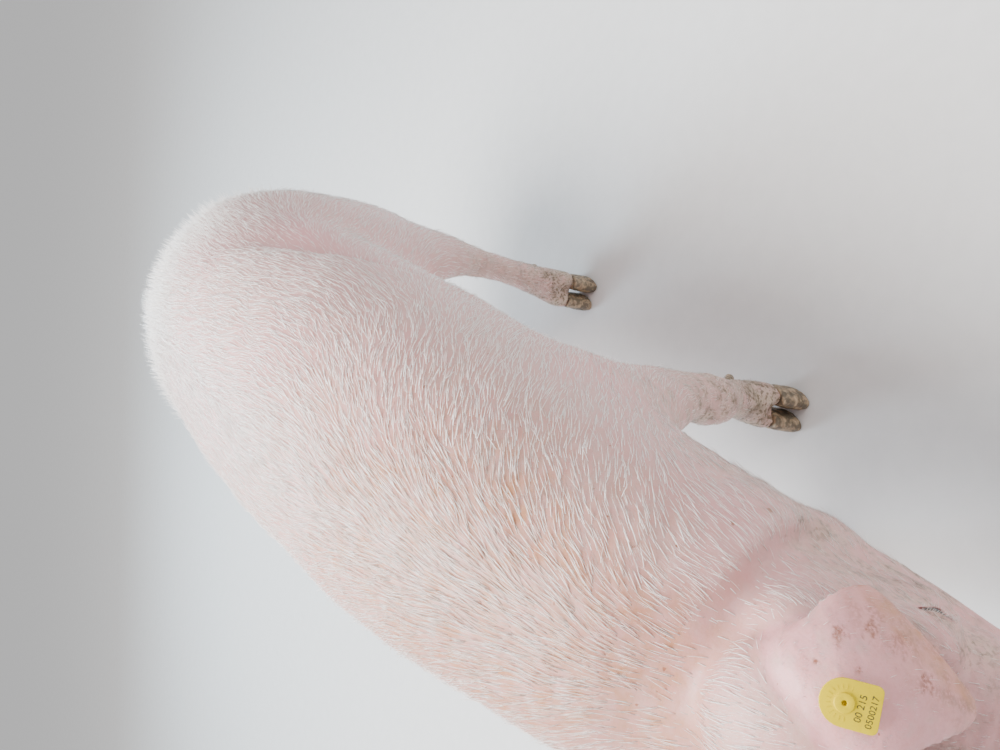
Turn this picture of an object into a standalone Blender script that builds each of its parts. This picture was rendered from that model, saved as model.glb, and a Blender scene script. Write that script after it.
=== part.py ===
"""A life-size standing pig of the white lop-eared type, parted into its named members.

Metres, +Z up. The snout points along -Y, so the animal's left side is +X. The flesh is one rounded
body built from lofted masses; thin cuts part it into head, snout, neck, torso and legs. The ears,
tail, eyes, claws and ear tag are shapes of their own that meet the flesh face to face.
"""

import math
from collections import namedtuple

import bmesh
import bpy
import numpy as np
from mathutils import Matrix, Vector

# Driving dimensions of the body
BACK_HEIGHT = 0.750  # floor to the highest point of the back
TRUNK_LENGTH = 1.000
TRUNK_WIDTH = 0.340
HEAD_PITCH = math.radians(36)  # how far the face points below level
HEAD_YAW = math.radians(17)  # the head looks to its left
NAPE_CUT_PITCH = math.radians(20)  # lean of the parting behind the ears
NECK_PITCH = math.radians(18)
NECK_LENGTH = 0.170

# How far each foot stands ahead of its square place, in mid-step
LEFT_FORE_REACH = -0.100
RIGHT_FORE_REACH = 0.060
LEFT_HIND_REACH = 0.115
RIGHT_HIND_REACH = -0.090

# Claws
CORONET_FRONT = 0.046  # height of the claw's wall at the toe
CORONET_HEEL = 0.030
CLAW_LENGTH = 0.058
CLAW_WIDTH = 0.029
CLAW_SPREAD = 0.0168  # claw's middle from the foot's middle

# Ears and their tag
EAR_THICKNESS = 0.0060
TAG_LENGTH = 0.036
TAG_WIDTH = 0.029
TAG_THICKNESS = 0.0016
TAG_PIN = 0.0028  # radius of the stem through the ear
TAG_TILT = math.radians(-5)

EYE_RADIUS = 0.0125

GAP = 0.0003  # kept between neighbours that touch
VOXEL = 0.0045  # grid that fuses the lofted masses
RING_SIDES = 40
HEAD_TRIANGLES = 3000
TRUNK_TRIANGLES = 2600
LEG_TRIANGLES = 840

Girth = namedtuple("Girth", "top_ahead top low_ahead low out half_width waist")
Section = namedtuple("Section", "along top bottom half_width square")
Joint = namedtuple("Joint", "ahead out height across deep")
Leaf = namedtuple("Leaf", "ahead out height half_width roll cup")


def place(ahead, out, height):
    """A point given as distance ahead of the body's middle, outwards to the left, and up."""
    return Vector((out, -ahead, height))


def through(rows, count):
    """Evenly spaced rows on a smooth curve through the given ones, column by column."""
    rows = np.array(rows, float)
    steps = np.linalg.norm(np.diff(rows[:, :3], axis=0), axis=1)
    knots = np.concatenate([[0.0], np.cumsum(steps)])
    slopes = np.gradient(rows, knots, axis=0)
    at = np.linspace(0.0, knots[-1], count)
    left = np.clip(np.searchsorted(knots, at, side="right") - 1, 0, len(knots) - 2)
    width = (knots[left + 1] - knots[left])[:, None]
    t = (at - knots[left])[:, None] / width
    rise = slopes[left] * width
    fall = slopes[left + 1] * width
    return (
        rows[left] * (2 * t**3 - 3 * t**2 + 1)
        + rise * (t**3 - 2 * t**2 + t)
        + rows[left + 1] * (3 * t**2 - 2 * t**3)
        + fall * (t**3 - t**2)
    )


def add_ring(mass, centre, side, up, half_width, rise, drop, square=(2.0, 2.0), sides=RING_SIDES):
    """One closed section: superellipse halves of their own height and squareness above and below."""
    ring = []
    for step in range(sides):
        angle = 2 * math.pi * step / sides
        c, s = math.cos(angle), math.sin(angle)
        power = square[0] if s > 0 else square[1]
        x = half_width * math.copysign(abs(c) ** (2 / power), c)
        z = (rise if s > 0 else drop) * math.copysign(abs(s) ** (2 / power), s)
        ring.append(mass.verts.new(centre + side * x + up * z))
    return ring


def close_loft(mass, rings):
    """Skins the rings in turn and caps both ends."""
    for near, far in zip(rings, rings[1:]):
        for i in range(len(near)):
            j = (i + 1) % len(near)
            mass.faces.new((near[i], near[j], far[j], far[i]))
    mass.faces.new(rings[0][::-1])
    mass.faces.new(rings[-1])


def add_limb(mass, joints, count=30, sides=20):
    """A tube through the joints: across is its width from the front, deep its width from the side."""
    rows = through(joints, count)
    rings = []
    for i, (ahead, out, height, across, deep) in enumerate(rows):
        before, after = rows[max(i - 1, 0)], rows[min(i + 1, count - 1)]
        heading = (place(*after[:3]) - place(*before[:3])).normalized()
        side = Vector((1, 0, 0))
        side = (side - heading * side.dot(heading)).normalized()
        centre = place(ahead, out, height)
        rings.append(
            add_ring(mass, centre, side, heading.cross(side), across / 2, deep / 2, deep / 2, sides=sides)
        )
    close_loft(mass, rings)


def add_ball(mass, centre, radii, turn=None, segments=32):
    """An ellipsoid, turned by the rotation matrix where one is given."""
    shape = Matrix.Diagonal((*radii, 1.0))
    if turn is not None:
        shape = turn.to_4x4() @ shape
    bmesh.ops.create_uvsphere(
        mass,
        u_segments=segments,
        v_segments=segments * 5 // 8,
        radius=1.0,
        matrix=Matrix.Translation(centre) @ shape,
    )


def new_object(name, mass):
    mesh = bpy.data.meshes.new(name)
    bmesh.ops.recalc_face_normals(mass, faces=mass.faces)
    mass.to_mesh(mesh)
    mass.free()
    obj = bpy.data.objects.new(name, mesh)
    bpy.context.scene.collection.objects.link(obj)
    return obj


def drop(obj):
    bpy.data.objects.remove(obj)


def apply_modifiers(obj):
    """Puts the evaluated mesh in place of the object's own."""
    graph = bpy.context.evaluated_depsgraph_get()
    shaped = bpy.data.meshes.new_from_object(obj.evaluated_get(graph))
    obj.modifiers.clear()
    obj.data = shaped
    return obj


def copy_of(obj, name):
    twin = bpy.data.objects.new(name, obj.data.copy())
    bpy.context.scene.collection.objects.link(twin)
    return twin


def grown(obj, by=GAP):
    """A copy whose surface lies outside the original by the given distance."""
    twin = copy_of(obj, obj.name + "_grown")
    swell = twin.modifiers.new("swell", "DISPLACE")
    swell.strength = by
    swell.mid_level = 0.0
    return apply_modifiers(twin)


def combine(obj, other, operation):
    """Applies one Boolean of another object, and removes that object."""
    cut = obj.modifiers.new("combine", "BOOLEAN")
    cut.operation = operation
    cut.object = other
    cut.solver = "EXACT"
    apply_modifiers(obj)
    drop(other)
    return obj


def keep_largest(obj):
    """Leaves only the largest closed surface of an object, and joins points that coincide."""
    mass = bmesh.new()
    mass.from_mesh(obj.data)
    bmesh.ops.remove_doubles(mass, verts=mass.verts, dist=1e-6)
    unseen = set(mass.verts)
    shells = []
    while unseen:
        stack = [unseen.pop()]
        shell = []
        while stack:
            vert = stack.pop()
            shell.append(vert)
            for edge in vert.link_edges:
                other = edge.other_vert(vert)
                if other in unseen:
                    unseen.remove(other)
                    stack.append(other)
        shells.append(shell)
    shells.sort(key=len)
    for shell in shells[:-1]:
        bmesh.ops.delete(mass, geom=shell, context="VERTS")
    bmesh.ops.triangulate(mass, faces=mass.faces)
    mass.to_mesh(obj.data)
    mass.free()
    return obj


# Sections from the rump to the nape, as shares of the trunk's length, height and width. Each runs from a
# point on the top line to one on the lower line; waist is the share of its depth where it is widest.
CORE = (
    Girth(-0.548, 0.800, -0.545, 0.640, 0.000, 0.20, 0.50),
    Girth(-0.525, 0.875, -0.520, 0.540, 0.000, 0.56, 0.50),
    Girth(-0.465, 0.930, -0.465, 0.490, 0.000, 0.90, 0.48),
    Girth(-0.350, 0.975, -0.350, 0.470, 0.000, 1.04, 0.46),
    Girth(-0.200, 0.998, -0.200, 0.462, 0.000, 1.03, 0.45),
    Girth(-0.020, 1.000, -0.020, 0.445, 0.000, 1.03, 0.45),
    Girth(0.160, 0.985, 0.170, 0.435, 0.000, 0.98, 0.45),
    Girth(0.290, 0.966, 0.310, 0.440, 0.000, 0.91, 0.46),
    Girth(0.390, 0.938, 0.400, 0.452, 0.002, 0.84, 0.48),
    Girth(0.470, 0.895, 0.460, 0.468, 0.004, 0.80, 0.50),
    Girth(0.530, 0.850, 0.505, 0.480, 0.010, 0.77, 0.50),
    Girth(0.575, 0.790, 0.530, 0.500, 0.018, 0.70, 0.50),
)


def add_core(mass, count=56):
    """The trunk and neck in one loft, whose sections lean forward along the neck."""
    rings = []
    side = Vector((1, 0, 0))
    for top_ahead, top, low_ahead, low, out, half_width, waist in through(CORE, count):
        crest = place(top_ahead * TRUNK_LENGTH, out * TRUNK_WIDTH, top * BACK_HEIGHT)
        keel = place(low_ahead * TRUNK_LENGTH, out * TRUNK_WIDTH, low * BACK_HEIGHT)
        depth = (crest - keel).length
        up = (crest - keel) / depth
        rise = waist * depth
        centre = crest - up * rise
        reach = half_width * TRUNK_WIDTH / 2
        rings.append(add_ring(mass, centre, side, up, reach, rise, depth - rise, (2.25, 1.95)))
    close_loft(mass, rings)


def head_frame():
    """The head's own axes, set at the poll: X to its left, -Y ahead and Z up, as on the body."""
    neck_root = Matrix.Translation(place(0.40 * TRUNK_LENGTH, 0.0, 0.735 * BACK_HEIGHT))
    leaning = neck_root @ Matrix.Rotation(NECK_PITCH, 4, "X")
    poll = Matrix.Translation((leaning @ Matrix.Translation(place(NECK_LENGTH, 0.0, 0.0))).to_translation())
    return poll @ Matrix.Rotation(HEAD_YAW, 4, "Z") @ Matrix.Rotation(HEAD_PITCH, 4, "X")


# Skull sections from the nape to the snout's disc, in the head's own axes
SKULL = (
    Section(-0.060, 0.088, -0.110, 0.098, 2.1),
    Section(0.000, 0.092, -0.120, 0.105, 2.1),
    Section(0.050, 0.087, -0.105, 0.095, 2.2),
    Section(0.095, 0.072, -0.090, 0.079, 2.3),
    Section(0.135, 0.055, -0.070, 0.062, 2.4),
    Section(0.180, 0.043, -0.048, 0.050, 2.5),
    Section(0.230, 0.035, -0.038, 0.040, 2.5),
    Section(0.268, 0.034, -0.035, 0.036, 2.4),
    Section(0.284, 0.037, -0.034, 0.038, 2.2),
)

# Lower jaw, from the throat to the chin
JAW = (
    Section(0.020, -0.020, -0.150, 0.108, 2.0),
    Section(0.080, -0.020, -0.130, 0.098, 2.0),
    Section(0.140, -0.030, -0.098, 0.071, 2.1),
    Section(0.200, -0.032, -0.070, 0.040, 2.2),
    Section(0.245, -0.032, -0.059, 0.030, 2.2),
    Section(0.268, -0.036, -0.054, 0.024, 2.1),
)


def add_sections(mass, frame, sections, count):
    rings = []
    side, up = (frame.to_3x3() @ Vector(axis) for axis in ((1, 0, 0), (0, 0, 1)))
    for along, top, bottom, half_width, square in through(sections, count):
        centre = frame @ place(along, 0.0, (top + bottom) / 2)
        half = (top - bottom) / 2
        rings.append(add_ring(mass, centre, side, up, half_width, half, half, (square, square)))
    close_loft(mass, rings)


# Middle of the left eyeball in the head's axes
EYE_AHEAD, EYE_OUT, EYE_UP = 0.119, 0.0620, 0.033


def add_head(mass, frame):
    turn = frame.to_3x3()
    add_sections(mass, frame, SKULL, 34)
    add_sections(mass, frame, JAW, 24)
    add_ball(mass, frame @ place(0.286, 0.0, 0.002), (0.0450, 0.0080, 0.0410), turn)
    for way in (1, -1):
        jowl = frame @ place(0.010, 0.070 * way, -0.070)
        cheek = frame @ place(0.085, 0.048 * way, -0.035)
        brow = frame @ place(0.100, 0.050 * way, 0.047)
        lids = frame @ place(EYE_AHEAD, EYE_OUT * way, EYE_UP)
        add_ball(mass, jowl, (0.057, 0.085, 0.074), turn)
        add_ball(mass, cheek, (0.036, 0.066, 0.050), turn)
        add_ball(mass, brow, (0.025, 0.040, 0.023), turn)
        add_ball(mass, lids, (0.0155, 0.0225, 0.0185), turn)
        root = frame @ place(0.028, 0.048 * way, 0.062)
        add_ball(mass, root, (0.036, 0.036, 0.036), turn)


def fore_joints(way, reach):
    """Shoulder to pastern of a front leg; the foot's reach grows down the leg."""
    return (
        Joint(0.275, 0.086 * way, 0.530, 0.100, 0.200),
        Joint(0.265 + 0.10 * reach, 0.098 * way, 0.410, 0.104, 0.165),
        Joint(0.262 + 0.25 * reach, 0.103 * way, 0.335, 0.086, 0.112),
        Joint(0.258 + 0.42 * reach, 0.103 * way, 0.260, 0.063, 0.072),
        Joint(0.262 + 0.52 * reach, 0.098 * way, 0.208, 0.066, 0.070),
        Joint(0.256 + 0.72 * reach, 0.091 * way, 0.145, 0.051, 0.055),
        Joint(0.255 + 0.90 * reach, 0.085 * way, 0.088, 0.054, 0.061),
        Joint(0.264 + 0.97 * reach, 0.082 * way, 0.055, 0.055, 0.057),
    )


def hind_joints(way, reach):
    """Hip to pastern of a hind leg."""
    return (
        Joint(-0.345, 0.092 * way, 0.560, 0.140, 0.260),
        Joint(-0.352 + 0.15 * reach, 0.110 * way, 0.455, 0.142, 0.254),
        Joint(-0.378 + 0.30 * reach, 0.129 * way, 0.365, 0.116, 0.190),
        Joint(-0.412 + 0.48 * reach, 0.136 * way, 0.290, 0.080, 0.122),
        Joint(-0.445 + 0.66 * reach, 0.133 * way, 0.228, 0.056, 0.084),
        Joint(-0.440 + 0.80 * reach, 0.128 * way, 0.155, 0.046, 0.054),
        Joint(-0.438 + 0.92 * reach, 0.120 * way, 0.088, 0.052, 0.060),
        Joint(-0.430 + 0.97 * reach, 0.116 * way, 0.055, 0.054, 0.056),
    )


def foot_middle(joints):
    """Where the middle of the foot meets the floor."""
    pastern = joints[-1]
    return place(pastern.ahead + 0.012, pastern.out, 0.0)


def add_toes(mass, joints):
    """Two toes from the fetlock down into the claws."""
    ankle, foot = joints[-2], joints[-1]
    for apart in (-1, 1):
        add_limb(
            mass,
            (
                Joint(ankle.ahead, ankle.out + apart * 0.010, ankle.height, 0.034, 0.046),
                Joint(foot.ahead, foot.out + apart * 0.0155, foot.height, 0.032, 0.050),
                Joint(foot.ahead + 0.010, foot.out + apart * CLAW_SPREAD, 0.028, 0.030, 0.054),
                Joint(foot.ahead + 0.014, foot.out + apart * CLAW_SPREAD, 0.012, 0.029, 0.054),
            ),
            14,
            18,
        )


def leg_plan():
    return {
        "leg_front_left": fore_joints(1, LEFT_FORE_REACH),
        "leg_front_right": fore_joints(-1, RIGHT_FORE_REACH),
        "leg_hind_left": hind_joints(1, LEFT_HIND_REACH),
        "leg_hind_right": hind_joints(-1, RIGHT_HIND_REACH),
    }


def add_legs(mass):
    for name, joints in leg_plan().items():
        way = 1 if name.endswith("left") else -1
        add_limb(mass, joints)
        add_toes(mass, joints)
        if "hind" in name:
            add_ball(mass, place(-0.382, 0.106 * way, 0.495), (0.092, 0.152, 0.190))
            add_ball(mass, place(-0.430, 0.130 * way, 0.415), (0.068, 0.105, 0.135))
            fold = (
                Joint(-0.190, 0.108 * way, 0.400, 0.030, 0.090),
                Joint(-0.250, 0.112 * way, 0.415, 0.036, 0.110),
                Joint(-0.310, 0.118 * way, 0.425, 0.044, 0.110),
            )
            add_limb(mass, fold, 10)
        else:
            add_ball(mass, place(0.255, 0.100 * way, 0.510), (0.064, 0.115, 0.165))


def weigh(obj, name, rule):
    """A vertex group whose weight at each point is given by the rule of x, y and z arrays."""
    count = len(obj.data.vertices)
    points = np.empty(count * 3)
    obj.data.vertices.foreach_get("co", points)
    weights = np.clip(rule(*points.reshape(-1, 3).T), 0.0, 1.0)
    group = obj.vertex_groups.new(name=name)
    levels = np.round(weights * 20).astype(int)
    for level in range(1, 21):
        group.add(np.flatnonzero(levels == level).tolist(), level / 20, "REPLACE")
    return group


def soften(obj, group, iterations):
    soft = obj.modifiers.new("soften", "SMOOTH")
    soft.factor = 0.5
    soft.iterations = iterations
    soft.vertex_group = group
    apply_modifiers(obj)


def build_flesh(frame):
    """The whole body without ears, tail or claws, as one closed surface of few triangles."""
    mass = bmesh.new()
    add_core(mass)
    add_head(mass, frame)
    add_legs(mass)
    body = new_object("body", mass)
    fuse = body.modifiers.new("fuse", "REMESH")
    fuse.mode = "VOXEL"
    fuse.voxel_size = VOXEL
    apply_modifiers(body)
    poll = frame.to_translation()
    weigh(body, "trunk", lambda x, y, z: np.minimum((z - 0.30) / 0.10, (y - poll.y - 0.02) / 0.08))
    nose = (frame @ place(0.245, 0.0, 0.0)).y
    weigh(body, "face", lambda x, y, z: np.minimum((y - nose) / 0.03, (z - 0.28) / 0.06))
    weigh(body, "all", lambda x, y, z: np.ones(len(x)))
    soften(body, "trunk", 60)
    soften(body, "face", 9)
    soften(body, "all", 3)
    return body


def thin_out(obj, triangles):
    """Merges faces until the mesh holds about so many triangles."""
    obj.vertex_groups.clear()
    obj.data.calc_loop_triangles()
    fewer = obj.modifiers.new("fewer", "DECIMATE")
    fewer.ratio = triangles / len(obj.data.loop_triangles)
    fewer.use_collapse_triangulate = True
    apply_modifiers(obj)


def eyeball(frame, way, radius):
    mass = bmesh.new()
    add_ball(mass, frame @ place(EYE_AHEAD, EYE_OUT * way, EYE_UP), (radius,) * 3, segments=16)
    return new_object("eye_left" if way > 0 else "eye_right", mass)


def eye_opening(frame, way):
    """The almond between the lids, as a cutter through the skin in front of the eyeball."""
    mass = bmesh.new()
    centre = frame @ place(EYE_AHEAD + 0.001, (EYE_OUT + 0.012) * way, EYE_UP + 0.001)
    tilt = frame.to_3x3() @ Matrix.Rotation(math.radians(-14), 3, "X")
    add_ball(mass, centre, (0.012, 0.0125, 0.0062), tilt, 16)
    return new_object("opening", mass)


# Where the lips meet, from the left corner of the mouth to the middle of the chin, in the head's axes
LIPS = (
    (0.116, 0.066, -0.026),
    (0.140, 0.052, -0.034),
    (0.180, 0.040, -0.038),
    (0.220, 0.034, -0.038),
    (0.250, 0.028, -0.037),
    (0.266, 0.015, -0.037),
    (0.271, 0.000, -0.037),
)
LIP_DEPTH = 0.006
LIP_SLIT = 0.0026


def mouth_slit(frame):
    """A thin ribbon that follows the lips from one corner, round the chin, to the other."""
    left = through(LIPS, 11)
    path = np.concatenate([left, left[-2::-1] * (1.0, -1.0, 1.0)])
    mass = bmesh.new()
    rings = []
    for i, row in enumerate(path):
        before, after = path[max(i - 1, 0)], path[min(i + 1, len(path) - 1)]
        run = place(*after) - place(*before)
        outward = Vector((-run.y, run.x, 0.0)).normalized()
        outer = place(*row) + outward * 0.018
        inner = place(*row) - outward * LIP_DEPTH
        rise = Vector((0, 0, LIP_SLIT / 2))
        corners = (outer - rise, outer + rise, inner + rise, inner - rise)
        rings.append([mass.verts.new(frame @ corner) for corner in corners])
    close_loft(mass, rings)
    return new_object("slit", mass)


def nostril(frame, way):
    mass = bmesh.new()
    centre = frame @ place(0.2925, 0.0175 * way, 0.003)
    tilt = frame.to_3x3() @ Matrix.Rotation(math.radians(18 * way), 3, "Y")
    add_ball(mass, centre, (0.0066, 0.014, 0.0094), tilt, 16)
    return new_object("nostril", mass)


def carve_face(flesh, frame):
    """Cuts eye sockets, lids, lips and nostrils; returns the two eyes."""
    eyes = []
    for way in (1, -1):
        combine(flesh, eyeball(frame, way, EYE_RADIUS + GAP), "DIFFERENCE")
        combine(flesh, eye_opening(frame, way), "DIFFERENCE")
        combine(flesh, nostril(frame, way), "DIFFERENCE")
        eyes.append(eyeball(frame, way, EYE_RADIUS))
    combine(flesh, mouth_slit(frame), "DIFFERENCE")
    keep_largest(flesh)
    return eyes


def cut_plane(obj, point, normal):
    """Removes what lies on the normal's side of a plane, and closes the cut flat."""
    mass = bmesh.new()
    mass.from_mesh(obj.data)
    geometry = mass.verts[:] + mass.edges[:] + mass.faces[:]
    cut = bmesh.ops.bisect_plane(
        mass, geom=geometry, dist=1e-6, plane_co=point, plane_no=normal, clear_outer=True
    )
    rim = [e for e in cut["geom_cut"] if isinstance(e, bmesh.types.BMEdge)]
    bmesh.ops.holes_fill(mass, edges=rim)
    bmesh.ops.triangulate(mass, faces=mass.faces)
    mass.to_mesh(obj.data)
    mass.free()
    return keep_largest(obj)


def part_in_two(obj, point, normal, name):
    """Splits an object at a plane and returns the piece on the normal's side under its own name."""
    ahead = copy_of(obj, name)
    cut_plane(obj, point - normal * GAP / 2, normal)
    cut_plane(ahead, point + normal * GAP / 2, -normal)
    return ahead


def leg_space(name):
    """The space that a leg takes: rear, front and inner side, and the top's height there and outside."""
    if "front" in name:
        return 0.110, 0.385, 0.030, 0.350, 0.520
    return -0.640, -0.205, 0.014, 0.400, 0.590


LEG_OUTER = 0.260  # outside every leg


def leg_block(name, extra):
    """That space as a solid: flat sides, and a top that rises outwards."""
    way = 1 if name.endswith("left") else -1
    rear, front, inner, low, high = leg_space(name)
    profile = (
        (inner - extra, -0.05),
        (LEG_OUTER + extra, -0.05),
        (LEG_OUTER + extra, high + extra * 1.3),
        (inner - extra, low + extra * 1.3),
    )
    mass = bmesh.new()
    rings = [
        [mass.verts.new(place(ahead, out * way, height)) for out, height in profile]
        for ahead in (rear - extra, front + extra)
    ]
    close_loft(mass, rings)
    return new_object("block", mass)


def take_leg(flesh, name, joints):
    """One leg, cut out of the flesh with flat sides, and flat again at the tops of its claws."""
    leg = copy_of(flesh, name)
    way = 1 if name.endswith("left") else -1
    rear, front, inner, low, high = leg_space(name)
    margin = 0.02
    cut_plane(leg, place(0.0, (inner - margin) * way, 0.0), Vector((-way, 0, 0)))
    cut_plane(leg, place(rear - margin, 0.0, 0.0), Vector((0, 1, 0)))
    cut_plane(leg, place(front + margin, 0.0, 0.0), Vector((0, -1, 0)))
    cut_plane(leg, place(0.0, 0.0, high + margin), Vector((0, 0, 1)))
    thin_out(leg, LEG_TRIANGLES)
    combine(leg, leg_block(name, 0.0), "INTERSECT")
    keep_largest(leg)
    slope = (CORONET_FRONT - CORONET_HEEL) / CLAW_LENGTH
    down = Vector((0.0, -slope, -1.0)).normalized()
    middle = foot_middle(joints) + Vector((0, 0, (CORONET_FRONT + CORONET_HEEL) / 2 + GAP))
    return cut_plane(leg, middle, down)


def part_body(flesh, frame):
    """Divides the flesh into named members with thin flat cuts."""
    legs = [take_leg(flesh, name, joints) for name, joints in leg_plan().items()]
    nape = frame @ place(-0.075, 0.0, 0.0)
    ahead = place(math.cos(NAPE_CUT_PITCH), 0.0, -math.sin(NAPE_CUT_PITCH))
    head = copy_of(flesh, "head")
    cut_plane(head, nape - ahead * 0.03, -ahead)
    thin_out(head, HEAD_TRIANGLES)
    carve_face(head, frame)
    cut_plane(head, nape + ahead * GAP / 2, -ahead)
    snout = part_in_two(head, frame @ place(0.232, 0.0, 0.0), frame.to_3x3() @ place(1, 0, 0), "snout")
    torso = flesh
    torso.name = "torso"
    cut_plane(torso, nape + ahead * 0.03, ahead)
    cut_plane(torso, place(0.0, 0.0, 0.24), Vector((0, 0, -1)))
    thin_out(torso, TRUNK_TRIANGLES)
    cut_plane(torso, nape - ahead * GAP / 2, ahead)
    neck_way = (place(0.565, 0.0, 0.49) - place(0.415, 0.0, 0.535)).normalized()
    for name in leg_plan():
        combine(torso, leg_block(name, GAP), "DIFFERENCE")
    keep_largest(torso)
    neck = part_in_two(torso, place(0.415, 0.0, 0.52), neck_way, "neck")
    return torso, neck, head, snout, legs


def claw(name, middle, toe_way):
    """One main claw: a wall that flares to a flat sole, pointed at the toe."""
    mass = bmesh.new()
    rings = []
    slope = (CORONET_FRONT - CORONET_HEEL) / CLAW_LENGTH
    centre_top = (CORONET_FRONT + CORONET_HEEL) / 2
    levels = (
        (1.0, 0.90, 0.88, 0.000),
        (0.62, 0.97, 0.95, 0.003),
        (0.22, 1.0, 1.0, 0.006),
        (0.05, 0.99, 1.0, 0.007),
        (0.0, 0.93, 0.95, 0.0065),
    )
    for share, wide, long, forward in levels:
        ring = []
        for step in range(20):
            angle = 2 * math.pi * step / 20
            c, s = math.cos(angle), math.sin(angle)
            narrow = 1.0 - 0.22 * max(s, 0.0) ** 2
            out = toe_way * (CLAW_WIDTH / 2) * wide * narrow * math.copysign(abs(c) ** 0.8, c)
            along = (CLAW_LENGTH / 2) * long * s + forward
            height = share * (centre_top + slope * (CLAW_LENGTH / 2) * long * s)
            ring.append(mass.verts.new(middle + place(along, out, height)))
        rings.append(ring)
    close_loft(mass, rings)
    return new_object(name, mass)


def add_claws():
    claws = []
    for name, joints in leg_plan().items():
        foot = name.replace("leg_", "")
        for toe_way, toe in ((1, "left"), (-1, "right")):
            middle = foot_middle(joints) + place(0.0, toe_way * CLAW_SPREAD, 0.0)
            claws.append(claw(f"claw_{foot}_{toe}", middle, toe_way))
    return claws


def add_dewclaws(flesh):
    """Two small claws behind each fetlock, cut to the skin."""
    for name, joints in leg_plan().items():
        foot = name.replace("leg_", "")
        ankle = joints[-2]
        for toe_way, toe in ((1, "left"), (-1, "right")):
            mass = bmesh.new()
            root = place(ankle.ahead - 0.018, ankle.out + toe_way * 0.013, ankle.height + 0.008)
            tip = place(ankle.ahead - 0.045, ankle.out + toe_way * 0.018, ankle.height - 0.020)
            heading = (tip - root).normalized()
            side = Vector((1, 0, 0))
            side = (side - heading * side.dot(heading)).normalized()
            up = heading.cross(side)
            rings = []
            for t, radius in ((0.0, 0.0095), (0.45, 0.0095), (0.8, 0.0078), (1.0, 0.0042)):
                flat = radius * 0.85
                rings.append(add_ring(mass, root.lerp(tip, t), side, up, radius, flat, flat, sides=12))
            close_loft(mass, rings)
            dewclaw = new_object(f"dewclaw_{foot}_{toe}", mass)
            combine(dewclaw, grown(flesh[name]), "DIFFERENCE")
            keep_largest(dewclaw)


# The left ear's middle line in the head's axes, from inside its root to the tip. Roll lowers the outer
# margin; cup is how far both margins lie below the middle line.
EAR = (
    Leaf(0.016, 0.045, 0.060, 0.025, 10, 0.020),
    Leaf(0.010, 0.046, 0.095, 0.030, 14, 0.024),
    Leaf(0.021, 0.049, 0.1200, 0.040, 20, 0.025),
    Leaf(0.047, 0.052, 0.1290, 0.047, 26, 0.021),
    Leaf(0.080, 0.051, 0.1190, 0.053, 28, 0.016),
    Leaf(0.108, 0.041, 0.1030, 0.044, 27, 0.011),
    Leaf(0.128, 0.030, 0.0880, 0.025, 25, 0.006),
    Leaf(0.142, 0.024, 0.0780, 0.009, 24, 0.003),
)
EAR_INNER = 0.95  # width of the ear's inner half, as a share of its outer half
EAR_ROWS, EAR_COLUMNS = 20, 10


class Ear:
    """The curved sheet of one ear: points and frames at a share u of its length and v of its width."""

    def __init__(self, frame, way):
        self.frame, self.way = frame, way
        self.rows = through(EAR, 61)

    def middle(self, u):
        at = min(max(u, 0.0), 1.0) * 60
        low = min(int(at), 59)
        return self.rows[low] * (low + 1 - at) + self.rows[low + 1] * (at - low)

    def point(self, u, v):
        ahead, out, height, half, roll, cup = self.middle(u)
        corner = 1.0 + 0.16 * math.exp(-(((u - 0.62) / 0.08) ** 2)) * max(v, 0.0) ** 3
        corner *= 1.0 if v > 0 else EAR_INNER
        lean = math.radians(roll)
        run = place(*self.middle(u + 0.02)[:3]) - place(*self.middle(u - 0.02)[:3])
        side = Vector((1.0, 0.0, 0.0))
        side = (side - run * (side.dot(run) / run.length_squared)).normalized()
        back = run.normalized().cross(side)
        across = side * math.cos(lean) - back * math.sin(lean)
        over = side * math.sin(lean) + back * math.cos(lean)
        local = place(ahead, out, height) + across * (half * v * corner) - over * (cup * v * v)
        local.x *= self.way
        return self.frame @ local

    def normal(self, u, v):
        """Unit vector out of the ear's upper, outer face."""
        step = 0.01
        along = self.point(min(u + step, 1.0), v) - self.point(max(u - step, 0.0), v)
        across = self.point(u, v + step) - self.point(u, v - step)
        return along.cross(across).normalized() * self.way


def add_ear(frame, way):
    """A closed leaf of even thickness that thins towards its margin."""
    ear = Ear(frame, way)
    mass = bmesh.new()
    rings = []
    for i in range(EAR_ROWS + 1):
        u = 1 - (1 - i / EAR_ROWS) ** 1.25
        ring = []
        for j in range(2 * EAR_COLUMNS):
            upper = j < EAR_COLUMNS
            t = (j + 0.5) / EAR_COLUMNS if upper else (j - EAR_COLUMNS + 0.5) / EAR_COLUMNS
            v = math.sin((t - 0.5) * math.pi) * (1 if upper else -1)
            edge = math.sqrt(max(1.0 - v * v, 0.0)) ** 0.6
            half = EAR_THICKNESS / 2 * (1.5 - 0.5 * min(u / 0.3, 1.0)) * max(edge, 0.35)
            offset = ear.normal(u, v) * (half if upper else -half)
            ring.append(mass.verts.new(ear.point(u, v) + offset))
        rings.append(ring)
    close_loft(mass, rings)
    return new_object("ear_left" if way > 0 else "ear_right", mass)


TAG_ALONG, TAG_ACROSS = 0.49, -0.41  # where the stem passes through the ear


def tag_frame(frame):
    """Axes at the stem, on the ear's outer face: -Y towards the ear's tip, Z out of the face."""
    ear = Ear(frame, 1)
    point = ear.point(TAG_ALONG, TAG_ACROSS)
    out = ear.normal(TAG_ALONG, TAG_ACROSS)
    tip = (ear.point(TAG_ALONG + 0.05, TAG_ACROSS) - point).normalized()
    tip = (tip - out * tip.dot(out)).normalized()
    turn = Matrix((tip.cross(out) * -1.0, tip * -1.0, out)).transposed().to_4x4()
    return Matrix.Translation(point) @ turn @ Matrix.Rotation(TAG_TILT, 4, "Z")


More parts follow.
